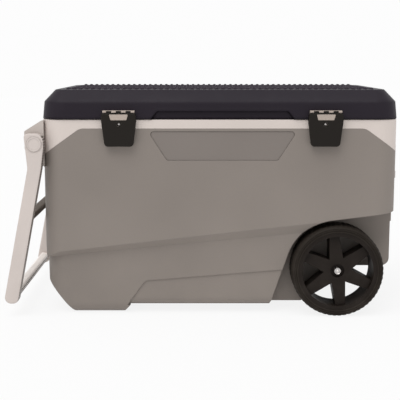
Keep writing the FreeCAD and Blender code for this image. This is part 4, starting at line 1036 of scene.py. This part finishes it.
def pale_floor(stage):
    """A wide plain floor; to the camera most of its tone is its own, so that shadows stay faint."""
    form = bmesh.new()
    half_size = 12.0
    bmesh.ops.create_grid(form, x_segments=8, y_segments=8, size=half_size)
    floor = bpy.data.objects.new("floor", mesh_from("floor", form))
    material, nodes, shader = start_material("floor_paint")
    shader.inputs["Roughness"].default_value = 0.9
    shader.inputs["Specular IOR Level"].default_value = 0.0
    seen = seen_directly(nodes)
    tone = nodes.spread(seen, 0.0, 1.0, stage.floor_bounce, stage.floor * stage.floor_shade)
    nodes.tree.links.new(tone, shader.inputs["Base Color"])
    shader.inputs["Emission Color"].default_value = (1.0, 1.0, 1.0, 1.0)
    glow = nodes.spread(seen, 0.0, 1.0, stage.floor_glow, stage.floor * (1 - stage.floor_shade))
    nodes.tree.links.new(glow, shader.inputs["Emission Strength"])
    floor.data.materials.append(material)
    bpy.context.scene.collection.objects.link(floor)


class COOLER_OT_stage(CoolerOperator):
    """Build the floor, the sky, the lamps and the camera"""

    bl_idname = "cooler.stage"
    bl_label = "Stage"

    def execute(self, context):
        stage = context.scene.cooler_stage
        camera_for(stage)
        pale_sky(stage)
        pale_floor(stage)
        soft_sun("key_light", Vector(stage.key_way), stage.key, stage.key_spread)
        context.scene.view_settings.view_transform = "Standard"
        return {"FINISHED"}


class COOLER_PT_panel(bpy.types.Panel):
    """Lists the cooler's operators and settings."""

    bl_label = "Wheeled Cooler"
    bl_idname = "COOLER_PT_panel"
    bl_space_type = "VIEW_3D"
    bl_region_type = "UI"
    bl_category = "Cooler"

    def draw(self, context):
        layout = self.layout
        for operator in OPERATORS:
            layout.operator(operator.bl_idname)
        scene = context.scene
        for group in (scene.cooler_colours, scene.cooler_surface, scene.cooler_detail, scene.cooler_stage):
            box = layout.box()
            for key in group.__annotations__:
                box.prop(group, key)


GROUPS = {
    "cooler_colours": CoolerColours,
    "cooler_surface": CoolerSurface,
    "cooler_detail": CoolerDetail,
    "cooler_stage": CoolerStage,
}
OPERATORS = (
    COOLER_OT_shells,
    COOLER_OT_lid,
    COOLER_OT_hinges,
    COOLER_OT_latches,
    COOLER_OT_wheels,
    COOLER_OT_tow_handle,
    COOLER_OT_lift_handle,
    COOLER_OT_drain,
    COOLER_OT_stage,
)


def register():
    for group in GROUPS.values():
        bpy.utils.register_class(group)
    for name, group in GROUPS.items():
        setattr(bpy.types.Scene, name, PointerProperty(type=group))
    for operator in OPERATORS:
        bpy.utils.register_class(operator)
    bpy.utils.register_class(COOLER_PT_panel)


def unregister():
    bpy.utils.unregister_class(COOLER_PT_panel)
    for operator in reversed(OPERATORS):
        bpy.utils.unregister_class(operator)
    for name in GROUPS:
        delattr(bpy.types.Scene, name)
    for group in reversed(GROUPS.values()):
        bpy.utils.unregister_class(group)


def main():
    register()
    for operator in OPERATORS:
        area, name = operator.bl_idname.split(".")
        getattr(getattr(bpy.ops, area), name)()


if __name__ == "__main__":
    main()
